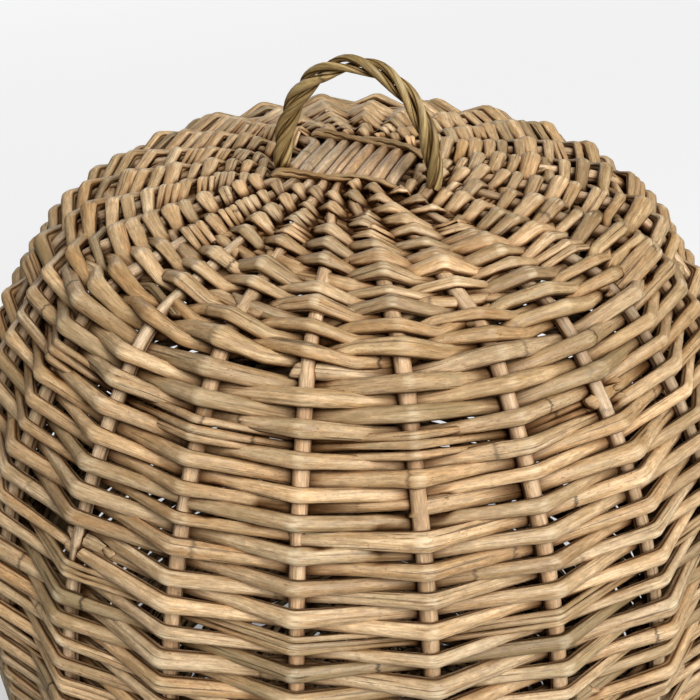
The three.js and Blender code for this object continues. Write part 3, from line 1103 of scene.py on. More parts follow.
@dataclass
class NodeBoard:
    """Adds nodes to the tree of a material or of the world, from left to right, with their links."""

    owner: Material | World
    column: int = 0
    spacing: int = 180

    @property
    def tree(self) -> bpy.types.NodeTree:
        """The owner's own tree."""
        return self.owner.node_tree

    def add(self, kind: str, settings: dict | None = None, inputs: dict | None = None) -> bpy.types.Node:
        """Adds one node.

        Args:
            kind: Blender's name of the node's type.
            settings: The node's own settings.
            inputs: Value of each named or numbered input, or the socket that feeds it.

        Returns:
            The node.
        """
        node = self.tree.nodes.new(kind)
        node.location = (self.column * self.spacing, 0)
        self.column += 1
        for key, value in (settings or {}).items():
            setattr(node, key, value)
        self.fill(node, inputs or {})
        return node

    def fill(self, node: bpy.types.Node, inputs: dict) -> None:
        """Gives each input of a node its value, or links it to the socket that feeds it."""
        for key, value in inputs.items():
            if isinstance(value, Socket):
                self.tree.links.new(value, node.inputs[key])
            else:
                node.inputs[key].default_value = value

    def noise(self, vector: Socket, scale: tuple, detail: float = 2.0) -> Socket:
        """A noise that is stretched by three scales, read at a vector."""
        stretched = self.add("ShaderNodeVectorMath", {"operation": "MULTIPLY"}, {0: vector, 1: scale})
        settings = {"noise_dimensions": "3D"}
        inputs = {"Vector": stretched.outputs[0], "Scale": 1.0, "Detail": detail, "Roughness": 0.6}
        return self.add("ShaderNodeTexNoise", settings, inputs).outputs["Fac"]

    def ramp(self, value: Socket, low: float, high: float, to: tuple = (0.0, 1.0)) -> Socket:
        """A value brought from one range to another and held there."""
        inputs = {"Value": value, "From Min": low, "From Max": high, "To Min": to[0], "To Max": to[1]}
        return self.add("ShaderNodeMapRange", {"clamp": True}, inputs).outputs["Result"]

    def maths(self, operation: str, a: object, b: object = 0.0) -> Socket:
        """One step of arithmetic on two values or sockets."""
        return self.add("ShaderNodeMath", {"operation": operation}, {0: a, 1: b}).outputs[0]

    def times(self, a: object, b: object) -> Socket:
        """The product of two values or sockets."""
        return self.maths("MULTIPLY", a, b)

    def length(self, vector: Socket) -> Socket:
        """The length of a vector."""
        return self.add("ShaderNodeVectorMath", {"operation": "LENGTH"}, {0: vector}).outputs["Value"]

    def scaled(self, colour: Socket, factor: Socket) -> Socket:
        """A colour made darker or lighter by a factor."""
        inputs = {0: colour, "Scale": factor}
        return self.add("ShaderNodeVectorMath", {"operation": "SCALE"}, inputs).outputs[0]

    def attribute(self, name: str, output: str) -> Socket:
        """One output of an attribute of the mesh."""
        return self.add("ShaderNodeAttribute", {"attribute_name": name}).outputs[output]

    def place(self) -> Socket:
        """Where a point lies in its own object, in metres."""
        return self.add("ShaderNodeTexCoord").outputs["Object"]

    def seen(self) -> Socket:
        """1 for what the camera sees straight on, 0 for all other light."""
        return self.add("ShaderNodeLightPath").outputs["Is Camera Ray"]

    def bump(self, height: Socket, strength: float, distance: float) -> Socket:
        """The normal of a surface with small bumps of a height."""
        inputs = {"Height": height, "Strength": strength, "Distance": distance}
        return self.add("ShaderNodeBump", None, inputs).outputs["Normal"]

    def mix(self, share: Socket, a: object, b: object) -> Socket:
        """A blend of two colours or sockets."""
        return self.add("ShaderNodeMix", {"data_type": "RGBA"}, {"Factor": share, 6: a, 7: b}).outputs[2]

    def multiply(self, share: Socket, a: object, b: object) -> Socket:
        """A colour multiplied by a share of another one, used for the warm tint of painted shade."""
        settings = {"data_type": "RGBA", "blend_type": "MULTIPLY"}
        return self.add("ShaderNodeMix", settings, {"Factor": share, 6: a, 7: b}).outputs[2]


def empty_board(owner: Material | World) -> NodeBoard:
    """A board for a tree that is emptied first."""
    owner.use_nodes = True
    owner.node_tree.nodes.clear()
    return NodeBoard(owner)


def new_material(name: str) -> tuple[NodeBoard, bpy.types.Node]:
    """A material with nothing but its output and one Principled shader.

    Args:
        name: Name of the material.

    Returns:
        Its board and its shader.
    """
    board = empty_board(bpy.data.materials.new(name))
    shader = board.add("ShaderNodeBsdfPrincipled")
    board.add("ShaderNodeOutputMaterial", None, {"Surface": shader.outputs["BSDF"]})
    return board, shader


def linear(red: int, green: int, blue: int) -> tuple[float, float, float, float]:
    """A colour given as it is seen, 0 to 255, as the shader's linear numbers."""
    seen = np.array([red, green, blue]) / 255
    low, high = seen / 12.92, ((seen + 0.055) / 1.055) ** 2.4
    return (*np.where(seen <= 0.04045, low, high).tolist(), 1.0)


@dataclass(frozen=True)
class Skin:
    """What a willow material reads from the rod it is on: its grain, its own tint, and where it lies among
    the other rods, for its painted shade and painted highlight.
    """

    fibre: Socket
    mottle: Socket
    patch: Socket
    along: Socket
    hue: Socket
    value: Socket
    bark: Socket
    age: Socket
    face: Socket
    standing: Socket
    crowded: Socket


@dataclass(frozen=True)
class WillowFinish:
    """Dried willow: mottled fibres along the rod, joints, cracks, specks and bark, with painted shade in
    patches.

    Attributes:
        name: Name of the material.
        light: The paler wood.
        dark: The darker wood.
        warm: The wood's warmer patches.
        bark: What is left of the bark.
        dark_and_painted_shade: Cracks, joints and painted shade.
        stain_and_shade_tint: What wood under painted shade is multiplied by.
        grey: Weathered wood.
        speck: Red-brown specks.
        scuff_and_highlight: Pale scuffs with a painted highlight.
        crack_share: How deep the cracks of the oldest rods are.
        clear: Crowding up to which no shade is painted.
        packed: Crowding from which the painted shade is dark.
        gloss: Roughness.
        coat: Weight of the clear coat.
    """

    name: str
    light: Colour
    dark: Colour
    warm: Colour
    bark: Colour
    dark_and_painted_shade: Colour = (32, 16, 6)
    stain_and_shade_tint: Colour = (162, 118, 72)
    grey: Colour = (156, 142, 104)
    speck: Colour = (124, 74, 34)
    scuff_and_highlight: Colour = (232, 218, 184)
    crack_share: float = 0.65
    clear: float = 0.16
    packed: float = 0.4
    gloss: float = 0.52
    coat: float = 0.04

    def material(self) -> Material:
        """Builds the material from the rod's own grain, tint and wear, with painted shade and a painted
        highlight from where the rod lies among the others.
        """
        board, shader = new_material(self.name)
        grain = board.attribute("grain", "Vector")
        skin = self.skin(board, grain)
        cracks = self.cracks(board, grain, skin)
        wood = self.wood(board, grain, skin)
        wood = self.blemishes(board, grain, skin, wood)
        wood = board.mix(cracks, wood, linear(*self.dark_and_painted_shade))
        # Painted shade: the wood is tinted warm and darkened along each rod's sides, behind stakes and where
        # rods crowd.
        painted_shade = self.painted_shade(board, skin)
        wood = board.multiply(painted_shade, self.scuffs_and_highlights(board, skin, wood), linear(*self.stain_and_shade_tint))
        wood = board.mix(board.ramp(painted_shade, 0.25, 1.0), wood, linear(*self.dark_and_painted_shade))
        relief = board.maths("ADD", board.times(skin.fibre, 0.5), skin.mottle)
        board.fill(shader, {
            "Base Color": wood,
            # Painted shade also takes the sheen away.
            "Specular IOR Level": board.ramp(painted_shade, 0.0, 0.6, (0.35, 0.0)),
            "Roughness": board.ramp(skin.mottle, 0.3, 0.7, (self.gloss - 0.08, self.gloss + 0.14)),
            "Coat Weight": self.coat,
            "Coat Roughness": 0.3,
            "Normal": board.bump(board.maths("SUBTRACT", relief, cracks), 0.6, 0.0005),
        })
        return board.owner

    def skin(self, board: NodeBoard, grain: Socket) -> Skin:
        """Reads the rod's attributes and the noises that several parts of the finish share."""
        tint = board.add("ShaderNodeAttribute", {"attribute_name": "tint"}).outputs
        parts = board.add("ShaderNodeSeparateColor", None, {"Color": tint["Color"]}).outputs
        return Skin(
            fibre=board.noise(grain, (0.05, 1.9, 1.9), 3.0),
            mottle=board.noise(grain, (0.2, 0.7, 0.7), 4.0),
            patch=board.noise(grain, (0.03, 0.12, 0.12), 3.0),
            along=board.add("ShaderNodeSeparateXYZ", None, {0: grain}).outputs["X"],
            hue=parts["Red"],
            value=parts["Green"],
            bark=parts["Blue"],
            age=tint["Alpha"],
            face=board.attribute("face", "Fac"),
            standing=board.attribute("standing", "Fac"),
            crowded=board.attribute("crowded", "Fac"),
        )

    def wood(self, board: NodeBoard, grain: Socket, skin: Skin) -> Socket:
        """The bare wood: streaks between the two wood colours, warmer in patches, at the rod's value."""
        streak = board.noise(grain, (0.025, 0.42, 0.42), 2.0)
        tone = board.maths("ADD", streak, board.times(skin.fibre, 0.6))
        wood = board.mix(board.ramp(tone, 0.6, 1.02), linear(*self.dark), linear(*self.light))
        warmth = board.times(skin.hue, board.ramp(skin.patch, 0.3, 0.62, (0.3, 1.0)))
        wood = board.mix(board.times(warmth, 0.65), wood, linear(*self.warm))
        stain_and_shade_tint = board.ramp(board.noise(board.place(), (18.0, 18.0, 18.0), 3.0), 0.3, 0.68, (0.82, 1.08))
        level = board.times(board.ramp(skin.value, 0.0, 1.0, (0.7, 1.28)), stain_and_shade_tint)
        level = board.times(level, board.ramp(skin.age, 0.6, 1.0, (1.0, 0.68)))
        mottled = board.times(level, board.ramp(skin.mottle, 0.34, 0.66, (0.76, 1.16)))
        grit = board.ramp(board.noise(grain, (0.22, 2.0, 2.0), 2.0), 0.32, 0.68, (0.84, 1.14))
        return board.scaled(wood, board.times(mottled, grit))

    def blemishes(self, board: NodeBoard, grain: Socket, skin: Skin, wood: Socket) -> Socket:
        """Bark and grey weather in patches, red-brown specks, and a dark ring at each joint."""
        barky = board.times(skin.bark, board.ramp(skin.patch, 0.42, 0.6, (0.3, 1.0)))
        wood = board.mix(barky, wood, linear(*self.bark))
        weather = board.ramp(board.noise(grain, (0.04, 0.25, 0.25), 3.0), 0.5, 0.66, (0.0, 0.4))
        aged = board.times(weather, board.ramp(skin.age, 0.0, 1.0, (0.4, 1.0)))
        wood = board.mix(aged, wood, linear(*self.grey))
        speck = board.ramp(board.noise(grain, (0.7, 1.2, 1.2), 2.0), 0.6, 0.72)
        marks = board.times(speck, board.ramp(skin.age, 0.0, 1.0, (0.35, 0.85)))
        wood = board.mix(marks, wood, linear(*self.speck))
        bent = board.maths("ADD", skin.along, board.times(skin.mottle, 5.0))
        share = board.maths("FRACT", board.maths("DIVIDE", bent, JOINT_PITCH))
        off = board.maths("ABSOLUTE", board.maths("SUBTRACT", share, 0.5))
        ring = board.ramp(off, 0.2 / JOINT_PITCH, 1.3 / JOINT_PITCH, (1.0, 0.0))
        dark = board.times(ring, board.ramp(skin.age, 0.05, 0.7, (0.15, 0.8)))
        return board.mix(dark, wood, linear(*self.dark_and_painted_shade))

    def cracks(self, board: NodeBoard, grain: Socket, skin: Skin) -> Socket:
        """How deep the cracks along the rod are at a place: none on most rods, more on old ones."""
        split = board.ramp(board.noise(grain, (0.012, 0.75, 0.75), 2.0), 0.61, 0.66)
        return board.times(split, board.ramp(skin.age, 0.0, 0.6, (0.3, self.crack_share)))

    def scuffs_and_highlights(self, board: NodeBoard, skin: Skin, wood: Socket) -> Socket:
        """Pale scuffs, partly a painted highlight, on the outer face where the rod bends in front of a stake.
        """
        bent = board.ramp(skin.standing, 0.9, 0.96)
        crease = board.times(bent, board.ramp(skin.face, 0.2, 0.8))
        scuffs_and_highlights = board.times(crease, board.ramp(skin.mottle, 0.42, 0.6, (0.0, 0.42)))
        return board.mix(scuffs_and_highlights, wood, linear(*self.scuff_and_highlight))

    def painted_shade(self, board: NodeBoard, skin: Skin) -> Socket:
        """How much shade is painted at a place: along the rod's two sides, behind stakes and where rods
        crowd.
        """
        edge = board.ramp(board.maths("ABSOLUTE", skin.face), 0.0, 0.4, (0.9, 0.0))
        hidden = board.ramp(skin.standing, -0.97, -0.5, (1.0, 0.0))
        between = board.ramp(skin.crowded, self.clear, self.packed)
        dark_and_painted_shade = board.maths("MAXIMUM", board.maths("MAXIMUM", edge, between), hidden)
        return board.times(dark_and_painted_shade, board.ramp(skin.mottle, 0.3, 0.62, (0.8, 1.0)))


@dataclass(frozen=True)
class SplitWoodFinish:
    """A planed strip of pale split wood, its grain running round the basket."""

    name: str = "split_wood_strip"
    arc_radius: float = 0.15

    def material(self) -> Material:
        """Builds the material.

        Its noises are read at the angle round the basket times the arc radius, the distance from the
        middle and the height, all in metres, and are long in the first of these.
        """
        board, shader = new_material(self.name)
        xyz = board.add("ShaderNodeSeparateXYZ", None, {0: board.place()}).outputs
        flat = board.add("ShaderNodeCombineXYZ", None, {0: xyz["X"], 1: xyz["Y"]}).outputs[0]
        arc = board.times(board.maths("ARCTAN2", xyz["X"], xyz["Y"]), self.arc_radius)
        inputs = {0: arc, 1: board.length(flat), 2: xyz["Z"]}
        ring = board.add("ShaderNodeCombineXYZ", None, inputs).outputs[0]
        fibre = board.noise(ring, (30.0, 900.0, 900.0), 3.0)
        streak = board.noise(ring, (12.0, 220.0, 220.0), 2.0)
        tone = board.ramp(board.maths("ADD", streak, board.times(fibre, 0.4)), 0.45, 0.95)
        board.fill(shader, {
            "Base Color": board.mix(tone, linear(158, 126, 86), linear(212, 184, 142)),
            "Roughness": board.ramp(fibre, 0.3, 0.7, (0.45, 0.65)),
            "Normal": board.bump(fibre, 0.4, 0.0003),
        })
        return board.owner


@dataclass(frozen=True)
class NailFinish:
    """Steel nails, dulled and rusting a little."""

    name: str = "dulled_nail_steel"

    def material(self) -> Material:
        """Builds the material: bare steel with brown patches that are rougher and less metallic."""
        board, shader = new_material(self.name)
        rust = board.ramp(board.noise(board.place(), (900.0, 900.0, 900.0), 3.0), 0.48, 0.66)
        board.fill(shader, {
            "Base Color": board.mix(rust, linear(138, 138, 136), linear(104, 66, 40)),
            "Metallic": board.ramp(rust, 0.0, 1.0, (0.95, 0.25)),
            "Roughness": board.ramp(rust, 0.0, 1.0, (0.36, 0.75)),
        })
        return board.owner


class Finish(Enum):
    """Every finish on the basket."""

    STAKE = WillowFinish("willow_stake", (236, 210, 176), (180, 150, 112), (200, 156, 110), (140, 116, 82))
    WEAVER = WillowFinish("willow_weaver", (225, 198, 159), (170, 136, 94), (198, 150, 96), (126, 106, 68))
    WALE = WillowFinish("willow_wale", (222, 194, 150), (160, 126, 84), (190, 140, 86), (118, 98, 64))
    HANDLE = WillowFinish(
        "willow_handle", (214, 188, 132), (116, 90, 48), (168, 134, 74), (92, 76, 44),
        crack_share=1.0, gloss=0.42, coat=0.12,
    )
    BINDING = WillowFinish("willow_binding", (200, 172, 128), (128, 98, 62), (160, 118, 70), (104, 88, 56))
    STRIP = SplitWoodFinish()
    NAIL = NailFinish()


class FinishShelf:
    """Makes each finish once and hands it out."""

    def __init__(self) -> None:
        """Starts with nothing made."""
        self.made: dict[Finish, Material] = {}

    def get(self, finish: Finish) -> Material:
        """The material of a finish."""
        if finish not in self.made:
            self.made[finish] = finish.value.material()
        return self.made[finish]

    def dress(self, piece: Object, finish: Finish) -> None:
        """Gives a piece one finish all over."""
        piece.data.materials.clear()
        piece.data.materials.append(self.get(finish))


def settle(piece: Object, body: str, nodes: tuple[str, ...]) -> None:
    """Lets a finished piece ride on its body and stand for its solids.

    Args:
        piece: The piece.
        body: Name of the body it moves with.
        nodes: Solids that it stands for.
    """
    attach(piece, body)
    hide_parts(*nodes)
    log.info("%s: %d faces, rides on %s", piece.name, len(piece.data.polygons), body)


# Sub-assemblies


@dataclass
class Stakes:
    """All sticks of one cross, whose ends are the stakes of the lid or of the body.

    Attributes:
        owner: First word of the names of its pieces.
        body: Name of the body that it moves with.
        lines: The stakes' lines.
        shelf: Where its finish comes from.
        seed: Seed of its first long stick.
        cross_seed: From there to the seed of its first cross stick.
        tuck: How far each stake reaches into the border.
        stock: Its rods.
    """

    owner: str
    body: str
    lines: StakeLines
    shelf: FinishShelf
    seed: int
    cross_seed: int = 50
    tuck: float = 3.0
    stock: Stock = Stock(butt=3.55, tip=3.4, flatness=0.98, waviness=0.035, hue=0.4, bark=0.05, sides=10)

    def build(self) -> None:
        """Makes each stick a piece of its own."""
        tip = self.lines.outline.end - SIZES.border_height + self.tuck
        for count, word in ((SIZES.long_sticks, "long"), (SIZES.cross_sticks, "cross")):
            for index in range(count):
                mesh = RodMesh(self.seed + index + (self.cross_seed if word == "cross" else 0))
                line, outward = self.lines.stick(index, word == "long", tip)
                size = mesh.random.uniform(0.86, 1.05)
                stock = replace(self.stock, butt=size * self.stock.butt, tip=size * self.stock.tip)
                mesh.add_rod(line, outward, stock, (0.2, 0.2))
                piece = mesh.build(f"{self.owner}_{word}_stick_{index + 1}")
                self.shelf.dress(piece, Finish.STAKE)
                settle(piece, self.body, (f"{self.owner}_{word}_stake_{index + 1}",))


@dataclass
class Weaving:
    """The bands and borders worked on one set of stakes."""

    body: str
    lines: StakeLines
    shelf: FinishShelf

    @property
    def wale_start(self) -> float:
        """Where the side weave ends and the wale below the border starts."""
        return self.lines.outline.end - SIZES.border_height - SIZES.rim_wale_width

    def parts(self) -> list[tuple[WovenBand | RolledBorder, Finish, str, str]]:
        """Each part with its finish, its slot and the solid that it stands for."""
        raise NotImplementedError

    def build(self) -> None:
        """Makes each part a piece of its own."""
        for part, finish, slot, node in self.parts():
            piece = part.build()
            self.shelf.dress(piece, finish)
            settle(piece, self.body, (node,))

    def side_randing(self, name: str, start: float, seed: int, split_share: float, lift: float) -> WovenBand:
        """The side weave.

        Args:
            name: Name of its object.
            start: Where it starts.
            seed: Seed of its random numbers.
            split_share: Share of split rods where it starts.
            lift: How far a weaver rises in front of a stake.

        Returns:
            The band.
        """
        return WovenBand(
            name, self.lines, Weave.RANDING, Place.WALL, start, self.wale_start,
            round((self.wale_start - start) / SIZES.row_pitch),
            stock=Stock(butt=3.8, tip=2.6, split_share=0.05),
            inner_stock=Stock(butt=3.8, tip=2.6, split_share=split_share),
            seed=seed, lift=lift, bend=2.6,
        )

    def rim_waling(self, name: str, seed: int) -> WovenBand:
        """The wale between the side weave and the border."""
        rods = Stock(butt=3.1, tip=2.4)
        return WovenBand(
            name, self.lines, Weave.WALING, Place.WALL, self.wale_start + 1.0,
            self.wale_start + SIZES.rim_wale_width - 1.0, 3.0,
            stock=rods, inner_stock=rods, seed=seed, drift=2.8, bend=8.0,
        )

    def border(self, name: str, radius: float, bottom: float, seed: int) -> RolledBorder:
        """The rolled border."""
        stock = Stock(butt=3.2, tip=2.9)
        return RolledBorder(name, radius, bottom, SIZES.border_thickness, SIZES.border_height, stock, seed)


@dataclass
class LidWeave(Weaving):
    """The lid's bands, from the crown down to its border."""

    def parts(self) -> list[tuple[WovenBand | RolledBorder, Finish, str, str]]:
        """Each part with its finish, its slot and the solid that it stands for."""
        m = SIZES
        ring = self.lines.outline.along_at(m.ring_radius)
        shoulder_end = ring + m.shoulder_wale_width
        crown = WovenBand(
            "lid_crown_pairing", self.lines, Weave.PAIRING, Place.CROWN, 0.01, 0.99, 9.5,
            stock=Stock(butt=3.9, tip=3.2, flatness=0.66, split_share=0.14),
            inner_stock=Stock(butt=3.3, tip=2.9, split_share=0.12),
            seed=11, drift=2.9, bend=1.1, rod_steps=(10, 18), collar=5.0,
            jitter=1.1, variety=0.17,
        )
        shoulder = WovenBand(
            "lid_shoulder_pairing", self.lines, Weave.PAIRING, Place.WALL,
            ring + 1.0, shoulder_end - 2.0, 2.0,
            stock=Stock(butt=4.2, tip=3.2, flatness=0.78, split_share=0.22),
            inner_stock=Stock(butt=4.2, tip=3.4, split_share=0.22),
            seed=23, drift=3.2, bend=2.6, rod_steps=(6, 12), first_stake=12, variety=0.16,
        )
        side = self.side_randing("lid_side_randing", shoulder_end, 37, split_share=0.12, lift=0.6)
        rim = self.rim_waling("lid_rim_waling", 41)
        border = self.border("lid_rolled_border", float(self.lines.outline.r[-1]), m.lid_seam, 53)
        return [
            (crown, Finish.WEAVER, "willow_weave", "lid_crown_weave"),
            (shoulder, Finish.WALE, "willow_wale", "lid_shoulder_wale"),
            (side, Finish.WEAVER, "willow_weave", "lid_side_weave"),
            (rim, Finish.WALE, "willow_wale", "lid_rim_wale"),
            (border, Finish.WALE, "willow_wale", "lid_border"),
        ]


@dataclass
class BindingRods:
    """The two bindings laid over the long sticks, at the front and back edges of the window.

    Attributes:
        outline: The lid's wall.
        shelf: Where their finish comes from.
        twist: Length of one turn of the twisted pair.
        wind_radius: How far each rod of the pair stands off the middle line.
        left_end: How far a binding runs past the first stick.
        right_end: How far it runs past the last one.
        sag: How far its ends dip between the weavers.
        sway: How far it sways over the sticks in plan.
        samples: Points on each rod.
        stock: The rods.
    """

    outline: Outline
    shelf: FinishShelf
    twist: float = 62.0
    wind_radius: float = 1.1
    left_end: float = 2.0
    right_end: float = 4.0
    sag: float = 3.4
    sway: float = 0.5
    samples: int = 40
    stock: Stock = Stock(butt=1.95, tip=1.5, waviness=0.12, sides=8)

    def build(self) -> None:
        """Makes both bindings, each a twisted pair that dips at its ends between the weavers."""
        for side, word, skew, seed in ((-1, "front", 0.02, 61), (1, "back", -0.15, 67)):
            mesh = RodMesh(seed)
            for strand in range(2):
                path = self.middle(side, skew) + self.wind(strand)
                outward = np.tile([0.0, 0.0, 1.0], (len(path), 1))
                mesh.add_rod(path, outward, self.stock, (0.8, -0.8))
            piece = mesh.build(f"binding_{word}")
            self.shelf.dress(piece, Finish.BINDING)
            settle(piece, "lid", (f"lid_binding_rod_{word}",))

    def across(self) -> Array:
        """Places along a binding, across the long sticks."""
        half = SIZES.long_sticks * SIZES.stick_pitch / 2
        return np.linspace(-half - self.left_end, half + self.right_end, self.samples)

    def middle(self, side: int, skew: float) -> Array:
        """The middle line of one binding: it sags at both ends and sways a little over the sticks.

        Args:
            side: -1 for the front one, 1 for the back one.
            skew: Slope in plan.

        Returns:
            Points, one row each.
        """
        m = SIZES
        x = self.across()
        y = side * (m.window_half_width - m.touch_gap - m.binding_diameter / 2)
        half = m.long_sticks * m.stick_pitch / 2
        bend = self.outline.along_at(m.bend_radius)
        top = float(self.outline.at(bend)[1]) + m.stake_radius + m.binding_diameter / 2 - 0.4
        sag = np.clip((np.abs(x) - half + 5) / 8, 0, 1) ** 2
        z = top - self.sag * sag + 0.25 * np.sin(x * 2 * math.pi / m.stick_pitch)
        return on_cross(np.column_stack([x, y + skew * x + self.sway * np.sin(x / 9), z]))

    def wind(self, strand: int) -> Array:
        """How far one rod of the pair stands off the middle line, which it winds round in a helix."""
        angle = 2 * math.pi * (self.across() / self.twist + strand / 2)
        return self.wind_radius * np.column_stack([np.zeros_like(angle), np.cos(angle), np.sin(angle)])


@dataclass
class Handle:
    """The loop handle, a rope of three rods bent over in half an ellipse.

    Attributes:
        outline: The lid's wall.
        shelf: Where its finish comes from.
        seed: Seed of its first rod.
        leg: Length of the straight leg below each foot.
        samples: Points on each rod.
        loose: Radius of the helix at the feet, as a share of that of three touching strands.
        swell: How much that share grows towards the middle.
        stock: The rods.
    """

    outline: Outline
    shelf: FinishShelf
    seed: int = 71
    leg: float = 3.0
    samples: int = 150
    loose: float = 0.7
    swell: float = 0.18
    stock: Stock = Stock(butt=2.25, tip=1.95, waviness=0.13, bark=0.2, sides=12)

    def centre(self) -> Array:
        """The middle of the ellipse, over the crown."""
        m = SIZES
        bend = self.outline.along_at(m.bend_radius)
        z = float(self.outline.at(bend)[1]) + m.stake_radius + m.handle_seat
        return np.array([m.handle_shift, -m.handle_forward, z])

    def arch(self) -> tuple[Array, Array, Array]:
        """The rope's middle line in its own plane.

        It is half an ellipse at even distances, with a straight leg below each foot.

        Returns:
            Places across and up, and the share of the way along the half ellipse, beyond 0 and 1 in the
            legs.
        """
        m = SIZES
        angle = np.linspace(math.pi, 0, 400)
        across, up = m.handle_half_width * np.cos(angle), m.handle_rise * np.sin(angle)
        length = np.concatenate([[0.0], np.cumsum(np.hypot(np.diff(across), np.diff(up)))])
        leg = self.leg / length[-1]
        share = np.linspace(-leg, 1 + leg, self.samples)
        inside = np.clip(share, 0, 1) * length[-1]
        below = (np.minimum(share, 0) + np.minimum(1 - share, 0)) * length[-1]
        return np.interp(inside, length, across), np.interp(inside, length, up) + below, share

    def build(self) -> None:
        """Makes each strand wind round the middle line.

        Strand i stands off the line by the helix radius at angle 2 pi (turns share + i / 3), measured
        from outwards in the handle's plane towards the front.
        """
        m = SIZES
        across, up, share = self.arch()
        tightness = self.loose + self.swell * np.clip(6 * np.minimum(share, 1 - share), 0, 1)
        helix = tightness * (m.strand_diameter + m.strand_gap) / math.sqrt(3)
        tangent = unit(np.column_stack([np.gradient(across), np.gradient(up)]))
        turn = -math.radians(m.handle_turn)
        spin = np.array([[math.cos(turn), math.sin(turn)], [-math.sin(turn), math.cos(turn)]])
        for strand in range(m.strand_count):
            angle = 2 * math.pi * (m.handle_turns * share + strand / m.strand_count)
            out, off = helix * np.cos(angle), -helix * np.sin(angle)
            flat = np.column_stack([across - tangent[:, 1] * out, off]) @ spin
            path = np.column_stack([flat, up + tangent[:, 0] * out]) + self.centre()
            away = np.column_stack([-tangent[:, 1] * np.cos(angle), -np.sin(angle)]) @ spin
            outward = np.column_stack([away, tangent[:, 0] * np.cos(angle)])
            mesh = RodMesh(self.seed + strand)
            mesh.add_rod(path, outward, self.stock, (0.3, -0.3))
            piece = mesh.build(f"handle_rods_{strand + 1}")
            self.shelf.dress(piece, Finish.HANDLE)
            settle(piece, "lid", (f"handle_strand_{strand + 1}",))


@dataclass
class BodyWeave(Weaving):
    """The body's bands, from its base up to its border, and its foot."""

    rim_radius: float

    def parts(self) -> list[tuple[WovenBand | RolledBorder, Finish, str, str]]:
        """Each part with its finish, its slot and the solid that it stands for."""
        m = SIZES
        base = base_radius(self.rim_radius)
        base_end = self.lines.outline.along_at(base)
        upsett_end = base_end + m.upsett_wale_width
        ring = self.lines.outline.along_at(m.ring_radius)
        floor = WovenBand(
            "body_base_pairing", self.lines, Weave.PAIRING, Place.CROWN, 0.01, 0.985, 9.5,
            stock=Stock(butt=3.8, tip=3.2, flatness=0.8, sides=7),
            inner_stock=Stock(butt=2.8, tip=2.3),
            seed=83, drift=2.8, bend=4.0,
        )
        edge = WovenBand(
            "body_base_edge", self.lines, Weave.PAIRING, Place.WALL, ring + 4.0, base_end - 3.0, 3.4,
            stock=Stock(butt=3.8, tip=3.2, flatness=0.8, sides=7),
            inner_stock=Stock(butt=3.8, tip=3.2),
            seed=89, drift=2.8, bend=5.0,
        )
        upsett = WovenBand(
            "body_upsett_waling", self.lines, Weave.WALING, Place.WALL,
            base_end + 2.0, upsett_end - 3.0, 6.0,
            stock=Stock(butt=3.3, tip=2.5, split_share=0.1),
            inner_stock=Stock(butt=3.3, tip=2.5, split_share=0.1),
            seed=97, drift=2.8, bend=7.0,
        )
        side = self.side_randing("body_side_randing", upsett_end, 101, split_share=0.05, lift=0.0)
        top = self.rim_waling("body_top_waling", 103)
        border = self.border("body_rolled_border", self.rim_radius, m.body_height - m.border_height, 107)
        foot = RolledBorder(
            "body_foot_ring", base - m.foot_width / 2, 0.0, m.foot_width, m.foot_height,
            Stock(butt=2.9, tip=2.7), 109,
        )
        return [
            (floor, Finish.WEAVER, "willow_weave", "body_base_weave"),
            (edge, Finish.WEAVER, "willow_weave", "body_base_weave"),
            (upsett, Finish.WALE, "willow_wale", "body_upsett_wale"),
            (side, Finish.WEAVER, "willow_weave", "body_side_weave"),
            (top, Finish.WALE, "willow_wale", "body_top_wale"),
            (border, Finish.WALE, "willow_wale", "body_border"),
            (foot, Finish.WALE, "willow_wale", "body_foot"),
        ]


@dataclass
class GuideBand:
    """The split-wood band and its nails, which keep the shapes of their solids."""

    nodes: dict[str, Object]
    shelf: FinishShelf

    def build(self) -> None:
        """Dresses the band and each nail."""
        self.shelf.dress(self.nodes["guide_band"], Finish.STRIP)
        nails = [node for name, node in self.nodes.items() if "_nail_" in name]
        for nail in nails:
            self.shelf.dress(nail, Finish.NAIL)
        log.info("guide band dressed with %d nails", len(nails))


# The studio


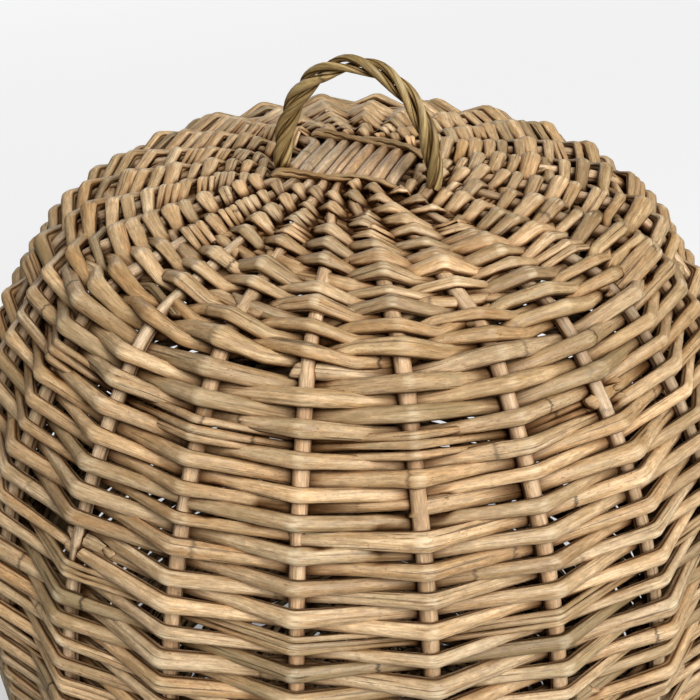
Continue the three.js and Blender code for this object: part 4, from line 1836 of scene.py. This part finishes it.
@dataclass
class Studio:
    """A plain pale floor, soft lamps and a camera at the photograph's angle.

    Attributes:
        pitch: Degrees that the camera looks down.
        roll: Degrees that it leans to one side.
        lens: Its focal length in millimetres.
        eye: Its place in metres.
        backdrop: Brightness of the background.
        fill: Brightness of the light from all round.
        floor_radius: Radius of the floor in metres.
        floor_sides: Number of its sides.
        floor_drop: How far it lies below the foot, in metres.
    """

    pitch: float = 33.64
    roll: float = -1.85
    lens: float = 51.02
    eye: tuple[float, float, float] = (-0.002826, -0.455782, 0.645762)
    backdrop: float = 0.9
    fill: float = 0.11
    floor_radius: float = 9.0
    floor_sides: int = 96
    floor_drop: float = 0.0005

    def build(self) -> None:
        """Sets up everything round the basket."""
        self.floor()
        self.world()
        self.lamps()
        self.camera()
        bpy.context.scene.view_settings.view_transform = "Standard"

    def floor(self) -> None:
        """A wide flat disc under the basket, pale, with the basket's shadow on it and a painted shadow round
        the basket, where it glows less for the camera.
        """
        angle = np.linspace(0, 2 * math.pi, self.floor_sides + 1)[:-1]
        low = np.full(self.floor_sides, -self.floor_drop)
        points = np.column_stack([self.floor_radius * np.cos(angle), self.floor_radius * np.sin(angle), low])
        mesh = bpy.data.meshes.new("floor")
        mesh.from_pydata(points.tolist(), [], [list(range(self.floor_sides))])
        disc = add_object("floor", mesh)
        board, shader = new_material("pale_floor")
        r = board.length(board.place())
        # Painted shadow: the floor glows less for the camera near the basket, least within 0.18 m of the
        # middle.
        near = board.ramp(r, 0.18, 0.42, (0.3, 0.7))
        far = board.ramp(r, 0.9, 2.4, (0.0, 0.08))
        board.fill(shader, {
            "Base Color": (0.32, 0.32, 0.32, 1),
            "Roughness": 0.9,
            "Emission Color": (1, 1, 1, 1),
            "Emission Strength": board.times(board.seen(), board.maths("ADD", near, far)),
        })
        mesh.materials.append(board.owner)

    def world(self) -> None:
        """White all round for the camera, and an even soft light for the basket."""
        world = bpy.data.worlds.new("studio")
        bpy.context.scene.world = world
        board = empty_board(world)
        level = board.ramp(board.seen(), 0.0, 1.0, (self.fill, self.backdrop))
        light = board.add("ShaderNodeBackground", None, {"Color": (1, 1, 1, 1), "Strength": level})
        board.add("ShaderNodeOutputWorld", None, {"Surface": light.outputs["Background"]})

    def lamps(self) -> None:
        """A broad lamp above the front, a stronger one at the front right and one far behind."""
        self.lamp("lamp_top", (0.0, -0.95, 1.85), (0.0, 0.0, 0.35), 0.9, 7.0)
        self.lamp("lamp_front", (0.78, -1.38, 1.6), (0.0, 0.0, 0.3), 1.1, 49.0)
        self.lamp("lamp_back", (-2.0, 6.5, 2.2), (0.0, 0.0, 0.25), 2.5, 80.0)

    def lamp(self, name: str, place: tuple, target: tuple, size: float, power: float) -> None:
        """Adds one square lamp that faces a target."""
        data = bpy.data.lights.new(name, "AREA")
        data.size = size
        data.energy = power
        lamp = add_object(name, data)
        lamp.visible_camera = False
        back = unit(np.array(place) - np.array(target))
        side = unit(np.cross([0.0, 1.0, 0.001], back))
        up = np.cross(back, side)
        lamp.matrix_world = matrix_of(side, up, back, place)

    def camera(self) -> None:
        """The camera, pitched down and rolled a little as in the photograph."""
        data = bpy.data.cameras.new("camera")
        data.lens = self.lens
        data.sensor_width = 36.0
        data.clip_end = 50.0
        eye = add_object("camera", data)
        pitch, roll = math.radians(self.pitch), math.radians(self.roll)
        right = np.array([1.0, 0.0, 0.0])
        up = np.array([0.0, math.sin(pitch), math.cos(pitch)])
        side = math.cos(roll) * right + math.sin(roll) * up
        above = -math.sin(roll) * right + math.cos(roll) * up
        eye.matrix_world = matrix_of(side, above, np.cross(side, above), self.eye)
        bpy.context.scene.camera = eye


def matrix_of(side: Array, up: Array, back: Array, place: tuple) -> Matrix:
    """A placing matrix from three axes and a point."""
    whole = np.eye(4)
    whole[:3, 0], whole[:3, 1], whole[:3, 2], whole[:3, 3] = side, up, back, place
    return Matrix(whole.tolist())


def main() -> None:
    """Loads the solids, builds the basket over them and sets up the studio."""
    logging.basicConfig(level=logging.INFO, format="%(name)s: %(message)s")
    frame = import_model()
    shelf = FinishShelf()
    lid = lid_outline()
    rim_radius = float(lid.r[-1])
    lid_lines = StakeLines(lid)
    body_lines = StakeLines(body_outline(rim_radius))
    Stakes("lid", "lid", lid_lines, shelf, seed=200).build()
    LidWeave("lid", lid_lines, shelf).build()
    BindingRods(lid, shelf).build()
    Handle(lid, shelf).build()
    Stakes("body", "basket", body_lines, shelf, seed=300).build()
    BodyWeave("basket", body_lines, shelf, rim_radius).build()
    GuideBand(frame["nodes"], shelf).build()
    Crowding().mark([piece for piece in bpy.context.scene.objects if is_woven(piece)])
    Studio().build()


if __name__ == "__main__":
    main()
